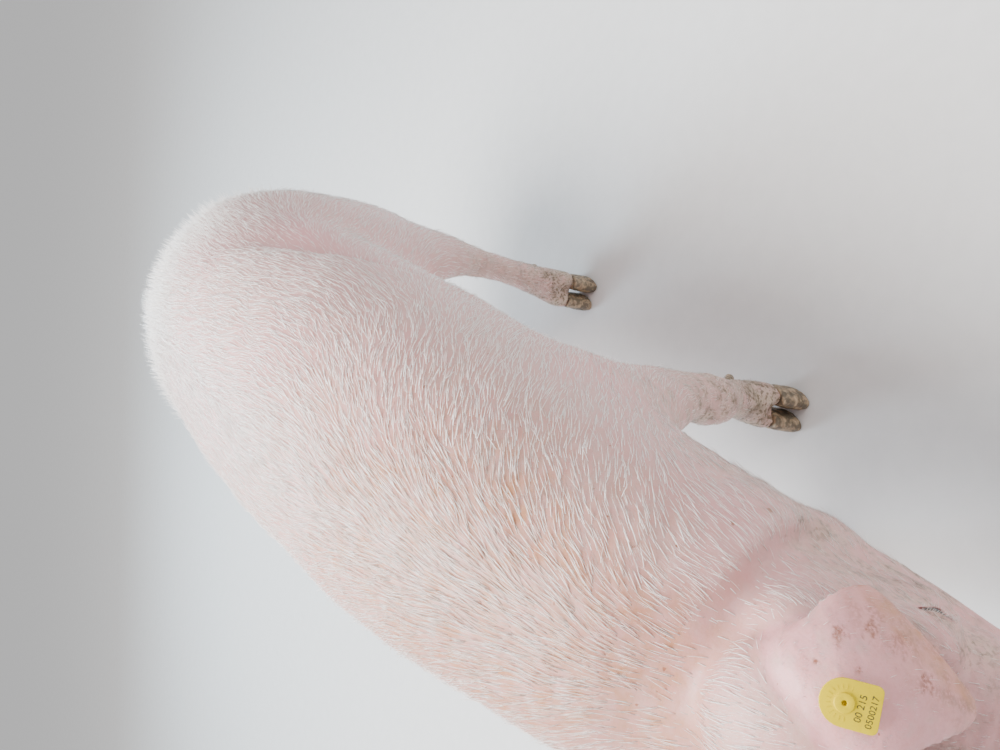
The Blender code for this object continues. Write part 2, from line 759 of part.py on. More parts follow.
def prism(name, outline, low, high, frame):
    """A flat plate with the given outline, between two levels of the frame."""
    mass = bmesh.new()
    rings = [[mass.verts.new(frame @ Vector((x, y, z))) for x, y in outline] for z in (low, high)]
    close_loft(mass, rings)
    return new_object(name, mass)


def circle(radius, sides=20):
    return [
        (radius * math.cos(2 * math.pi * i / sides), radius * math.sin(2 * math.pi * i / sides))
        for i in range(sides)
    ]


def tag_outline():
    """Round at the stem's end, square with rounded corners at the other."""
    half = TAG_WIDTH / 2
    top = [(half * math.cos(math.pi * i / 14), half * math.sin(math.pi * i / 14)) for i in range(15)]
    end = half - TAG_LENGTH
    corner = 0.004
    low = []
    for centre_x, start in ((-half + corner, 180), (half - corner, 270)):
        for i in range(5):
            angle = math.radians(start + 90 * i / 4)
            low.append((centre_x + corner * math.cos(angle), end + corner + corner * math.sin(angle)))
    return top + low


def add_tag(frame, ear):
    """A tag of two pieces: the plate with its raised collar and stem, and the button inside the ear."""
    at = tag_frame(frame)
    rest = EAR_THICKNESS / 2 + 0.0022  # clear of the curved ear
    plate = prism("ear_tag", tag_outline(), rest, rest + TAG_THICKNESS, at)
    top = rest + TAG_THICKNESS + 0.0014
    combine(plate, prism("collar", circle(0.0060), rest - 0.0012, top, at), "UNION")
    combine(plate, prism("stem", circle(TAG_PIN), -0.0120, rest + 0.0004, at), "UNION")
    combine(plate, prism("dimple", circle(0.0017, 12), rest - 0.0005, rest + 0.0100, at), "DIFFERENCE")
    keep_largest(plate)
    button = prism("ear_tag_button", circle(0.0115, 28), -0.0125, -0.0075, at)
    combine(button, prism("bore", circle(TAG_PIN + GAP), -0.0200, 0.0, at), "DIFFERENCE")
    keep_largest(button)
    combine(ear, prism("pierce", circle(TAG_PIN + GAP), -0.0200, 0.0200, at), "DIFFERENCE")
    keep_largest(ear)


TAIL_LENGTH_STEPS = 26


def add_tail():
    """Hangs from the tail-head, then turns once to the left in an open curl."""
    mass = bmesh.new()
    rings = []
    root = place(-0.515, 0.0, 0.650)
    points = []
    for i in range(TAIL_LENGTH_STEPS + 1):
        t = i / TAIL_LENGTH_STEPS
        if t < 0.42:
            s = t / 0.42
            points.append(root + place(-0.052 * math.sin(s * 1.5), 0.0, 0.012 * s - 0.095 * s * s))
        else:
            s = (t - 0.42) / 0.58
            turn = s * 2.25 * math.pi
            radius = 0.027 * (1 - 0.35 * s)
            bottom = root + place(-0.0519, 0.0, -0.083)
            centre = bottom + place(0.0, 0.027, 0.0)
            swing = place(-0.012 * s, -radius * math.cos(turn), -radius * math.sin(turn) - 0.010 * s)
            points.append(centre + swing)
    for i, centre in enumerate(points):
        before, after = points[max(i - 1, 0)], points[min(i + 1, TAIL_LENGTH_STEPS)]
        heading = (after - before).normalized()
        side = Vector((0, 1, 0)) if abs(heading.y) < 0.8 else Vector((1, 0, 0))
        side = (side - heading * side.dot(heading)).normalized()
        t = i / TAIL_LENGTH_STEPS
        radius = 0.0150 * (1 - t) ** 1.3 + 0.0048
        rings.append(add_ring(mass, centre, side, heading.cross(side), radius, radius, radius, sides=14))
    close_loft(mass, rings)
    return new_object("tail", mass)


def colour(obj, name, rgb, roughness):
    """Gives an object its own plain material."""
    paint = bpy.data.materials.get(name) or bpy.data.materials.new(name)
    paint.use_nodes = True
    shader = paint.node_tree.nodes["Principled BSDF"]
    shader.inputs["Base Color"].default_value = (*rgb, 1.0)
    shader.inputs["Roughness"].default_value = roughness
    shader.inputs["Metallic"].default_value = 0.0
    obj.data.materials.clear()
    obj.data.materials.append(paint)


def finish_all():
    """Colours every object and sets the origin below the middle of the whole, on the floor."""
    for obj in bpy.data.objects:
        name = obj.name
        if "claw" in name:
            colour(obj, "horn", (0.36, 0.24, 0.15), 0.60)
        elif name.startswith("ear_tag"):
            colour(obj, "yellow_plastic", (0.85, 0.70, 0.03), 0.45)
        elif name.startswith("eye"):
            colour(obj, "eye", (0.10, 0.06, 0.04), 0.10)
        elif name in ("ear_left", "ear_right", "snout"):
            colour(obj, "bare_skin", (0.80, 0.52, 0.47), 0.55)
        else:
            colour(obj, "white_bristle", (0.85, 0.74, 0.66), 0.75)
    corners = [obj.matrix_world @ Vector(c) for obj in bpy.data.objects for c in obj.bound_box]
    low = Vector([min(c[i] for c in corners) for i in range(3)])
    high = Vector([max(c[i] for c in corners) for i in range(3)])
    shift = Matrix.Translation((-(low.x + high.x) / 2, -(low.y + high.y) / 2, -low.z))
    for obj in bpy.data.objects:
        obj.data.transform(shift @ obj.matrix_world)
        obj.matrix_world = Matrix.Identity(4)


def main():
    for obj in list(bpy.data.objects):
        bpy.data.objects.remove(obj)
    frame = head_frame()
    flesh = build_flesh(frame)
    torso, neck, head, snout, legs = part_body(flesh, frame)
    for way in (1, -1):
        ear = add_ear(frame, way)
        combine(ear, grown(head), "DIFFERENCE")
        combine(ear, grown(neck), "DIFFERENCE")
        keep_largest(ear)
        if way > 0:
            add_tag(frame, ear)
    tail = add_tail()
    combine(tail, grown(torso), "DIFFERENCE")
    keep_largest(tail)
    add_claws()
    add_dewclaws({leg.name: leg for leg in legs})
    finish_all()


main()
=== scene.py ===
"""Looks of the pig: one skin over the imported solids, a coat of bristles, eyes, hooves and ear tag."""

import math

import bmesh
import bpy
import numpy as np
from mathutils import Matrix, Vector
from mathutils.bvhtree import BVHTree


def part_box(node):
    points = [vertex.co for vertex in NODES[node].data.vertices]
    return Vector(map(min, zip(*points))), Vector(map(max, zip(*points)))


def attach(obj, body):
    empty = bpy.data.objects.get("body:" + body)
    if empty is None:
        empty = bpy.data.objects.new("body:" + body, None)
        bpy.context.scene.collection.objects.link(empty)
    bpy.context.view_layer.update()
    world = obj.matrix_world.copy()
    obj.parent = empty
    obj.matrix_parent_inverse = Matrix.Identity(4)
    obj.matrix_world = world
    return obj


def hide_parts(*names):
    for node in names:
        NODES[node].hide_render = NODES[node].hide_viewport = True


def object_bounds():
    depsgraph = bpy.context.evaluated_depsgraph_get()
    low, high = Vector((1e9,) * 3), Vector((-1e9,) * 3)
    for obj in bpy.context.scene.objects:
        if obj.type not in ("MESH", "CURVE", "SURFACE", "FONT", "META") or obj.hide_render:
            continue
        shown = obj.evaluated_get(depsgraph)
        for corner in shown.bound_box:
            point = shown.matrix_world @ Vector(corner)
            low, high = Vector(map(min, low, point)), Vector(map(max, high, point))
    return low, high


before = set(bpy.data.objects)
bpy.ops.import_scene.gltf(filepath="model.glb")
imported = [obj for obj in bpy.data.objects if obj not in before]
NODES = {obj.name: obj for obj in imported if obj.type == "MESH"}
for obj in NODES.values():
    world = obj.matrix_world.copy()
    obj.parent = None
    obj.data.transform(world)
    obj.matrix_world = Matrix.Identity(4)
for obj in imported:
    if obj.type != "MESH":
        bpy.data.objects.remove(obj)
CAD_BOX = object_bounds()

FLESH = (
    "torso", "neck", "head", "snout", "tail", "ear_left", "ear_right",
    "leg_front_left", "leg_front_right", "leg_hind_left", "leg_hind_right",
)  # fmt: skip
FEET = ("front_left", "front_right", "hind_left", "hind_right")

# The head's axes, as the solids have them: X to its left, -Y ahead and Z up, set at the poll
HEAD_PITCH = math.radians(36)
HEAD_YAW = math.radians(17)
EYE_AHEAD, EYE_UP = 0.119, 0.033  # the eyes' middle, from the poll
EYE_RADIUS = 0.0125

CLOSING = 0.0006  # growth that closes the partings between nodes
SKIN_VOXEL = 0.0047
LENS_REACH = 0.20  # the head is this far magnified while the skin is remeshed, so its mesh is finer
LENS_POWER = 2.3
COAT_DEPTH = 0.0022  # how far the skin lies inside the solids under the coat
WELD = 1e-5  # points closer than this are one
PULL = 0.5  # how far a point moves towards its neighbours' middle in one round of smoothing
TRUNK_ROUNDS, BODY_ROUNDS, HAM_ROUNDS, ALL_ROUNDS = 110, 16, 80, 5
HAM_CORNER = (0.375, 0.060)  # height of the hams' lower rear corner, which is smoothed away, and its reach


# Plain helpers


TURN = 2 * math.pi
RIPPLE_WAVES = 7


def smoothstep(value, low, high):
    t = np.clip((value - low) / (high - low), 0.0, 1.0)
    return t * t * (3.0 - 2.0 * t)


def bell(distance, width):
    return np.exp(-((distance / width) ** 2))


def unit(vectors):
    return vectors / np.maximum(np.linalg.norm(vectors, axis=-1, keepdims=True), 1e-12)


def ripple(points, size, seed):
    """Smooth noise between about -1 and 1, whose waves are about so long."""
    draw = np.random.default_rng(seed)
    total = np.zeros(len(points))
    for _ in range(RIPPLE_WAVES):
        heading = unit(draw.normal(size=3))
        length = size * draw.uniform(0.7, 1.5)
        total += np.sin(points @ heading * (TURN / length) + draw.uniform(0, TURN))
    return total / math.sqrt(RIPPLE_WAVES)


def read_rows(items, key, width, kind=float):
    """What a mesh's points, edges or triangles hold under a key, as rows of numbers."""
    rows = np.empty(len(items) * width, kind)
    items.foreach_get(key, rows)
    return rows.reshape(-1, width)


def read_points(mesh):
    return read_rows(mesh.vertices, "co", 3)


def read_normals(mesh):
    return read_rows(mesh.vertex_normals, "vector", 3)


def read_edges(mesh):
    return read_rows(mesh.edges, "vertices", 2, np.int32)


def write_points(mesh, points):
    mesh.vertices.foreach_set("co", points.astype(np.float32).ravel())
    mesh.update()


def new_object(name, mesh):
    obj = bpy.data.objects.new(name, mesh)
    bpy.context.scene.collection.objects.link(obj)
    return obj


def mesh_from(name, points, faces):
    """A mesh of faces that all have the same number of corners."""
    mesh = bpy.data.meshes.new(name)
    corners = faces.shape[1]
    mesh.vertices.add(len(points))
    mesh.vertices.foreach_set("co", points.astype(np.float32).ravel())
    mesh.loops.add(faces.size)
    mesh.loops.foreach_set("vertex_index", faces.astype(np.int32).ravel())
    mesh.polygons.add(len(faces))
    mesh.polygons.foreach_set("loop_start", np.arange(0, faces.size, corners, dtype=np.int32))
    mesh.update(calc_edges=True)
    return mesh


def mesh_of(mass, name):
    """Turns an edited mesh into a plain one and frees it."""
    mesh = bpy.data.meshes.new(name)
    mass.to_mesh(mesh)
    mass.free()
    return mesh


def pour(mass, mesh):
    """Adds a mesh to an edited one and drops it."""
    mass.from_mesh(mesh)
    bpy.data.meshes.remove(mesh)


def voxels(obj, size):
    """Adds a remesh by voxels of the given size."""
    fuse = obj.modifiers.new("fuse", "REMESH")
    fuse.mode = "VOXEL"
    fuse.voxel_size = size


def bevel(obj, width, segments, angle):
    """Adds a bevel to the edges that are sharper than the angle, in degrees."""
    edge = obj.modifiers.new("edge", "BEVEL")
    edge.width = width
    edge.segments = segments
    edge.limit_method = "ANGLE"
    edge.angle_limit = math.radians(angle)


def evaluated(obj):
    """The object's mesh with its modifiers applied, in place of the object."""
    graph = bpy.context.evaluated_depsgraph_get()
    mesh = bpy.data.meshes.new_from_object(obj.evaluated_get(graph), depsgraph=graph)
    bpy.data.objects.remove(obj)
    return mesh


def ring_faces(rings, sides):
    """Triangles of a disc or ball: point 0 in the middle and rings of so many points around it."""
    faces = [(0, 1 + k, 1 + (k + 1) % sides) for k in range(sides)]
    for ring in range(rings - 1):
        low = 1 + ring * sides
        for k in range(sides):
            n = (k + 1) % sides
            faces += [(low + k, low + k + sides, low + n + sides), (low + k, low + n + sides, low + n)]
    return faces


def relax(points, edges, weight, rounds):
    """Moves each point towards the middle of its neighbours, by its weight."""
    a, b = edges.T
    count = len(points)
    degree = np.maximum(np.bincount(a, minlength=count) + np.bincount(b, minlength=count), 1)
    points = points.copy()
    for _ in range(rounds):
        for axis in range(points.shape[1]):
            value = points[:, axis]
            total = np.bincount(a, value[b], count) + np.bincount(b, value[a], count)
            value += weight * (total / degree - value)
    return points


def relax_part(points, edges, weight, rounds):
    """As relax, on the part of the mesh that has any weight."""
    active = weight > 0.01
    used = edges[active[edges].any(1)]
    kept = np.unique(used)
    place = np.full(len(points), -1)
    place[kept] = np.arange(len(kept))
    inner = weight[kept] * active[kept]
    result = points.copy()
    result[kept] = relax(points[kept], place[used], inner, rounds)
    return result


# Landmarks


def box_middle(node):
    low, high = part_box(node)
    return np.array((low + high) / 2)


HEAD_TURN = np.array(Matrix.Rotation(HEAD_YAW, 3, "Z") @ Matrix.Rotation(HEAD_PITCH, 3, "X"))
EYES = {1: box_middle("eye_left"), -1: box_middle("eye_right")}
POLL = (EYES[1] + EYES[-1]) / 2 - HEAD_TURN @ np.array((0.0, -EYE_AHEAD, EYE_UP))
TAIL_ROOT = np.array((0.0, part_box("torso")[1].y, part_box("tail")[1].z - 0.02))


def in_head(points):
    """How far points lie out to the left, ahead of the poll and above it, in the head's axes."""
    local = (points - POLL) @ HEAD_TURN
    return local[:, 0], -local[:, 1], local[:, 2]


def from_head(out, ahead, up):
    return POLL + HEAD_TURN @ np.array((out, -ahead, up))


# The skin


CREST_MIDDLE = (0.0, 0.032, 0.089)  # fleshy pad between the ears: out, ahead and up
CREST_SIZES = (0.062, 0.062, 0.046)


def crest():
    """A low rounded pad between the ears' roots, in the head's axes."""
    mass = bmesh.new()
    bmesh.ops.create_uvsphere(mass, u_segments=32, v_segments=16, radius=1.0)
    for vert in mass.verts:
        vert.co = from_head(*(CREST_MIDDLE[k] + CREST_SIZES[k] * vert.co[k] for k in range(3)))
    bmesh.ops.recalc_face_normals(mass, faces=mass.faces)
    return mesh_of(mass, "crest")


def joined_flesh():
    """Every node of flesh in one mesh, each grown a little so that the partings close."""
    mass = bmesh.new()
    for name in FLESH:
        piece = bmesh.new()
        piece.from_mesh(NODES[name].data)
        bmesh.ops.remove_doubles(piece, verts=piece.verts, dist=WELD)
        piece.normal_update()
        for vert in piece.verts:
            vert.co += vert.normal * CLOSING
        if name in ("torso", "neck") or name.startswith("leg"):
            bmesh.ops.subdivide_edges(piece, edges=piece.edges, cuts=3, use_grid_fill=True)
        pour(mass, mesh_of(piece, "piece"))
    pour(mass, crest())
    return mesh_of(mass, "flesh")


NEAR_CORE = 0.35  # share of the reach within which a point counts nearly in full


def near(node, points, chosen, reach):
    """1 on a node's surface, falling to 0 at the reach, for the chosen points."""
    mesh = NODES[node].data
    tree = BVHTree.FromPolygons(
        [v.co for v in mesh.vertices], [tuple(p.vertices) for p in mesh.polygons], epsilon=0.0
    )
    share = np.zeros(len(points))
    for i in np.flatnonzero(chosen):
        found = tree.find_nearest(points[i], reach * 1.01)
        if found[0] is not None:
            share[i] = 1.0 - smoothstep(found[3], reach * NEAR_CORE, reach)
    return share


LENS_MIDDLE = (0.0, 0.120, 0.0)
LENS_TABLE = np.linspace(0.0, 2.5, 4001)
LENS_STRETCHED = LENS_TABLE + (LENS_POWER - 1) * LENS_REACH * np.tanh(LENS_TABLE / LENS_REACH)


def through_lens(points, back=False):
    """Moves points away from the head's middle as a magnifying lens does, or back again."""
    middle = from_head(*LENS_MIDDLE)
    local = points - middle
    reach = np.linalg.norm(local, axis=1)
    was, now = (LENS_STRETCHED, LENS_TABLE) if back else (LENS_TABLE, LENS_STRETCHED)
    return middle + local * (np.interp(reach, was, now) / np.maximum(reach, 1e-9))[:, None]


def raw_skin():
    """The flesh remeshed as one even surface, with the solids' facets smoothed away."""
    flesh = new_object("flesh", joined_flesh())
    write_points(flesh.data, through_lens(read_points(flesh.data)))
    voxels(flesh, SKIN_VOXEL)
    mesh = evaluated(flesh)
    points, edges = through_lens(read_points(mesh), back=True), read_edges(mesh)
    behind = -in_head(points)[1]
    y, z = points[:, 1], points[:, 2]
    trunk = smoothstep(z, 0.30, 0.42) * smoothstep(behind, -0.01, 0.08)
    trunk *= 1.0 - smoothstep(y, TAIL_ROOT[1] - 0.02, TAIL_ROOT[1])
    points = relax_part(points, edges, PULL * trunk, TRUNK_ROUNDS)
    body = smoothstep(z, 0.16, 0.26) * smoothstep(behind, -0.06, 0.02)
    points = relax_part(points, edges, PULL * body, BODY_ROUNDS)
    ham = bell(z - HAM_CORNER[0], HAM_CORNER[1]) * smoothstep(points[:, 1], 0.24, 0.34)
    points = relax_part(points, edges, PULL * ham, HAM_ROUNDS)
    points = relax(points, edges, np.full(len(points), PULL), ALL_ROUNDS)
    write_points(mesh, points)
    return mesh


def refine(mesh, chosen):
    """Halves the edges between chosen points."""
    mass = bmesh.new()
    mass.from_mesh(mesh)
    edges = [e for e in mass.edges if chosen[e.verts[0].index] and chosen[e.verts[1].index]]
    bmesh.ops.subdivide_edges(mass, edges=edges, cuts=1, use_grid_fill=True, smooth=0.0)
    bmesh.ops.triangulate(mass, faces=[f for f in mass.faces if len(f.verts) > 4])
    mass.to_mesh(mesh)
    mass.free()


# Where the lips meet, from the left corner of the mouth to the middle of the chin, as the solids have it
LIPS = (
    (0.067, 0.118, -0.027),
    (0.052, 0.140, -0.034),
    (0.040, 0.180, -0.038),
    (0.034, 0.220, -0.038),
    (0.028, 0.250, -0.037),
    (0.015, 0.266, -0.037),
    (0.000, 0.271, -0.037),
)


def rounded(path, count):
    """Points along a smooth curve through the path's points."""
    rows = np.array(path, float)
    padded = np.vstack([2 * rows[0] - rows[1], rows, 2 * rows[-1] - rows[-2]])
    result = []
    for at in np.linspace(0, len(rows) - 1, count):
        i = min(int(at), len(rows) - 2)
        t = at - i
        a, b, c, d = padded[i : i + 4]
        cubic = 2 * a - 5 * b + 4 * c - d
        result.append(0.5 * (2 * b + (c - a) * t + cubic * t * t + (3 * b - a - 3 * c + d) * t**3))
    return np.array(result)


def path_distance(points, path):
    """Distance of each point from an open line of segments, and the share of its length reached there."""
    best = np.full(len(points), np.inf)
    share = np.zeros(len(points))
    steps = len(path) - 1
    for i in range(steps):
        start, run = path[i], path[i + 1] - path[i]
        t = np.clip((points - start) @ run / (run @ run), 0.0, 1.0)
        gap = np.linalg.norm(points - start - t[:, None] * run, axis=1)
        closer = gap < best
        best[closer] = gap[closer]
        share[closer] = ((i + t) / steps)[closer]
    return best, share


def lip_line():
    left = [from_head(*row) for row in rounded(LIPS, 14)]
    right = [from_head(-row[0], row[1], row[2]) for row in rounded(LIPS, 14)]
    return np.array(left + right[-2::-1])


GAZE = unit(np.array((0.93, -0.32, 0.10)))  # the left eye's outward direction, in the head's axes
SLIT_TILT = math.radians(-16)
LID_HALF, LID_RISE, LID_FALL, LID_THICK = 0.0098, 0.0050, 0.0038, 0.0018  # the opening and the lids
# Folds above and below the slit: distance across from it, height, width, half length
LID_FOLDS = (
    (0.0092, -0.0014, 0.0013, 0.013),
    (0.0125, 0.0012, 0.0022, 0.015),
    (-0.0088, -0.0009, 0.0011, 0.012),
    (-0.0125, -0.0007, 0.0012, 0.013),
)
SOCKET_DEPTH = 0.0030  # how far the skin inside the opening lies under the eyeball's surface


def eye_axes(way):
    """The eye's outward direction, the run of its slit and the way across it, in the row's frame."""
    gaze = HEAD_TURN @ (GAZE * (way, 1.0, 1.0))
    run = HEAD_TURN @ np.array((0.0, -math.cos(SLIT_TILT), math.sin(SLIT_TILT)))
    run = unit(run - gaze * (run @ gaze))
    across = np.cross(gaze, run) * -way
    return gaze, run, across


def shape_lids(points):
    """Wraps the skin round each eyeball as two lids with a crease above and folds below."""
    for way, middle in EYES.items():
        gaze, run, across = eye_axes(way)
        local = points - middle
        depth = local @ gaze
        chosen = (np.linalg.norm(local, axis=1) < 0.042) & (depth > -0.004)
        along, over, was = (local @ run)[chosen], (local @ across)[chosen], depth[chosen]
        wide = np.hypot(along, over)
        tall = np.where(over > 0, LID_RISE, LID_FALL)
        q = np.hypot(along / LID_HALF, over / tall)
        lid = np.sqrt((EYE_RADIUS + LID_THICK) ** 2 - np.minimum(wide, 0.0100) ** 2)
        outside = lid + (was - lid) * smoothstep(wide, 0.0070, 0.0175)
        for at, height, width, length in LID_FOLDS:
            outside += height * bell(over - at, width) * bell(along, length) * (over * at > 0)
        inside = np.sqrt(np.maximum((EYE_RADIUS - SOCKET_DEPTH) ** 2 - wide**2, 1e-6))
        now = inside + (outside - inside) * smoothstep(q, 0.93, 1.12)
        points[chosen] += gaze * (now - was)[:, None]
    return points


DISC_AHEAD = 0.2935  # the flat front of the snout
NOSTRIL_OUT, NOSTRIL_UP = 0.0175, 0.003
NOSTRIL_WIDE, NOSTRIL_TALL = 0.0068, 0.0096
NOSTRIL_DEPTH, NOSTRIL_RIM, NOSTRIL_LEAN = 0.0150, 0.0016, math.radians(16)
DISC_WIDE, DISC_TALL = 0.0445, 0.0405  # half sizes of the flat front


def shape_snout(points):
    """A crisp rim and flat front with two deep nostrils."""
    out, ahead, up = in_head(points)
    forward = HEAD_TURN @ np.array((0.0, -1.0, 0.0))
    rim = np.hypot(out / DISC_WIDE, (up - 0.002) / DISC_TALL)
    front = smoothstep(ahead, 0.279, 0.285) * (rim < 1.05)
    dish = DISC_AHEAD - 0.0065 * smoothstep(rim, 0.80, 1.04) - 0.0012 * bell(rim - 0.60, 0.22)
    dish += 0.0009 * bell(rim - 0.86, 0.07) - 0.0010 * bell(out, 0.0022) * (up < 0.0)
    for way in (1, -1):
        lean = NOSTRIL_LEAN * way
        side, rise = out - NOSTRIL_OUT * way, up - NOSTRIL_UP
        wide = side * math.cos(lean) + rise * math.sin(lean)
        tall = rise * math.cos(lean) - side * math.sin(lean)
        q = np.hypot(wide / NOSTRIL_WIDE, tall / NOSTRIL_TALL)
        dish += NOSTRIL_RIM * bell(q - 1.28, 0.25)
        dish -= NOSTRIL_DEPTH * (1.0 - smoothstep(q, 0.35, 1.04))
    return points + forward * ((dish - ahead) * front)[:, None]


LIP_GROOVE, LIP_SWELL = 0.0042, 0.0012
WRINKLE, WRINKLE_STEP = 0.0005, 0.0125  # height and spacing of the folds across the snout
BROW_FOLD, BROW_STEP = 0.0008, 0.016
RIM_GROOVE, JOWL_FOLD = 0.0014, 0.0005


def face_relief(points):
    """Height of the face's folds: lips, snout wrinkles, brow and jowl creases."""
    out, ahead, up = in_head(points)
    lips, share = path_distance(points, lip_line())
    on_face = smoothstep(ahead, 0.08, 0.12)
    corner = smoothstep(np.minimum(share, 1 - share), 0.0, 0.10)
    relief = on_face * (LIP_SWELL * bell(lips - 0.0048, 0.0026))
    relief -= on_face * (LIP_GROOVE * bell(lips, 0.0017) * (0.35 + 0.65 * corner))
    top = smoothstep(up, -0.012, 0.012) * smoothstep(ahead, 0.125, 0.17)
    top *= 1 - smoothstep(ahead, 0.262, 0.276)
    wander = ripple(points, 0.050, 5) * 0.0035
    ridges = np.sin((ahead + wander) * (TURN / WRINKLE_STEP))
    relief += top * WRINKLE * (ridges - 0.6 * bell(ridges + 1.0, 0.5))
    relief -= RIM_GROOVE * bell(ahead - 0.2765, 0.0042) * (up > -0.034)
    side = np.abs(out)
    brow = smoothstep(up, 0.040, 0.060) * bell(ahead - 0.090, 0.05) * (1 - smoothstep(side, 0.03, 0.06))
    relief += brow * BROW_FOLD * np.sin((out + 0.3 * wander) * (TURN / BROW_STEP))
    cheek = bell(ahead - 0.03, 0.07) * smoothstep(side, 0.05, 0.08) * (1 - smoothstep(up, -0.01, 0.03))
    return relief + cheek * JOWL_FOLD * ripple(points * (1.0, 1.0, 0.5), 0.026, 6)


HOLLOW = np.array((0.168, 0.245, 0.625))  # the valley between loin and ham
HOLLOW_RUN = np.array((0.87, 0.49))  # its run, back and up
VENT = np.array((0.0, TAIL_ROOT[1], TAIL_ROOT[2] - 0.055))
# Where the belly's side overhangs the thigh, from the hollow forward and down, on the left side
FLANK_FOLD = (
    (0.160, 0.270, 0.650),
    (0.171, 0.205, 0.604),
    (0.174, 0.155, 0.570),
    (0.173, 0.112, 0.532),
    (0.170, 0.082, 0.490),
    (0.160, 0.066, 0.445),
)
FLANK_FOLD_DEPTH, HOLLOW_DEPTH = 0.0070, 0.0175
NECK_FOLD, VENT_RIM, VENT_DEPTH = 0.0012, 0.0020, 0.0060
UNEVEN, PUCKER = 0.0012, 0.0002  # broad and small unevenness of the body
PASTERN, PASTERN_TURN = 0.0004, 570  # rings above the claws: height and closeness
KNEE_FOLD = 0.0007


def flank_fold(points):
    """1 along the crease of the flank and less than 0 on the swell above it, on both sides."""
    path = rounded(FLANK_FOLD, 30)
    folded = np.stack([np.abs(points[:, 0]), points[:, 1], points[:, 2]], 1)
    gap, share = path_distance(folded, path)
    level = np.interp(share, np.linspace(0.0, 1.0, len(path)), path[:, 2])
    over = gap * np.sign(folded[:, 2] - level)
    run = smoothstep(share, 0.0, 0.30) * (1 - smoothstep(share, 0.70, 1.0))
    return run * (bell(over + 0.006, 0.016) - 0.35 * bell(over - 0.027, 0.018))


def hollow_share(points):
    """1 in the middle of the hollow between ham and loin, steep on its upper side, on both sides."""
    out = np.abs(points[:, 0]) - HOLLOW[0]
    along, rise = points[:, 1] - HOLLOW[1], points[:, 2] - HOLLOW[2]
    run = along * HOLLOW_RUN[0] + rise * HOLLOW_RUN[1]
    over = rise * HOLLOW_RUN[0] - along * HOLLOW_RUN[1]
    return bell(out, 0.09) * bell(run, 0.120) * bell(over, np.where(over > 0, 0.034, 0.060))


def trunk_relief(points):
    """Height of the folds of neck, vent, flank and legs, and of the body's slight unevenness."""
    out, ahead, up = in_head(points)
    x, y, z = points.T
    body = smoothstep(-ahead, -0.02, 0.06)
    relief = body * (UNEVEN * ripple(points, 0.170, 11) + PUCKER * ripple(points, 0.030, 12))
    bend = ahead + 0.25 * up + 0.010 * ripple(points, 0.12, 13)
    neck = smoothstep(np.abs(x), 0.03, 0.09) * smoothstep(z, 0.36, 0.46)
    relief -= neck * NECK_FOLD * (bell(bend + 0.040, 0.011) + 0.6 * bell(bend + 0.085, 0.013))
    vent = np.linalg.norm(points - VENT, axis=1)
    relief += VENT_RIM * bell(vent - 0.010, 0.005) - VENT_DEPTH * bell(vent, 0.0045)
    relief -= FLANK_FOLD_DEPTH * flank_fold(points) + HOLLOW_DEPTH * hollow_share(points)
    for name in FEET:
        claw = box_middle(f"claw_{name}_left")
        apart = np.hypot(x - claw[0], y - claw[1])
        level = z + 0.4 * (y - claw[1]) + 0.002 * ripple(points, 0.02, 15)
        relief += bell(z - 0.082, 0.030) * (apart < 0.13) * PASTERN * np.sin(level * PASTERN_TURN)
        knee = ripple(points * (0.5, 0.5, 1.6), 0.020, 14)
        relief += bell(z - 0.215, 0.045) * (apart < 0.16) * KNEE_FOLD * knee
    return relief


TEATS, TEAT_OUT = 7, 0.052  # number in each row, distance from the middle line


def teats(points, normals):
    """Two rows of small teats under the belly."""
    relief = np.zeros(len(points))
    below = (normals[:, 2] < -0.5) & (points[:, 2] < 0.36)
    span = np.linspace(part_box("leg_front_left")[1].y - 0.10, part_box("leg_hind_left")[0].y + 0.11, TEATS)
    for i, y in enumerate(span):
        for way in (1, -1):
            x = way * (TEAT_OUT + 0.004 * math.sin(i * 2.3))
            far = np.hypot(points[:, 0] - x, points[:, 1] - y)
            relief += below * (0.0075 * bell(far, 0.0042) + 0.0020 * bell(far, 0.011))
    return relief


def coat_depth(points):
    """How far inside the solids the skin lies: under the coat, and hardly at all on bare places."""
    out, ahead, up = in_head(points)
    depth = COAT_DEPTH * smoothstep(points[:, 2], 0.12, 0.34) * smoothstep(-ahead, -0.10, 0.02)
    return CLOSING + depth


def build_skin():
    mesh = raw_skin()
    points = read_points(mesh)
    out, ahead, up = in_head(points)
    lips, _ = path_distance(points, lip_line())
    fine = (lips < 0.010) & (ahead > 0.10)
    for middle in EYES.values():
        fine |= np.linalg.norm(points - middle, axis=1) < 0.024
    fine |= (ahead > 0.268) & (up > -0.045)
    refine(mesh, fine)
    points, edges = read_points(mesh), read_edges(mesh)
    points = relax_part(points, edges, PULL * smoothstep(in_head(points)[1], 0.0, 0.03), 4)
    points = shape_snout(points)
    points = shape_lids(points)
    write_points(mesh, points)
    normals = read_normals(mesh)
    ears = ear_share(points)
    relief = (face_relief(points) + trunk_relief(points)) * (1 - ears)
    relief += teats(points, normals) - coat_depth(points) + ear_relief(points, ears)
    write_points(mesh, points + normals * relief[:, None])
    return mesh, ears


def ear_share(points):
    """1 on the ears and 0 on the rest of the skin."""
    out, ahead, up = in_head(points)
    maybe = (ahead > -0.03) & (up > 0.05)
    return np.maximum(near("ear_left", points, maybe, 0.006), near("ear_right", points, maybe, 0.006))


def ear_relief(points, ears):
    """Veins and slight dents of the ears."""
    web = 1.0 - np.abs(ripple(points, 0.030, 41))
    return ears * (0.0004 * smoothstep(web, 0.80, 1.0) + 0.0006 * ripple(points, 0.035, 42))


# The lie of the coat, its length and its colours


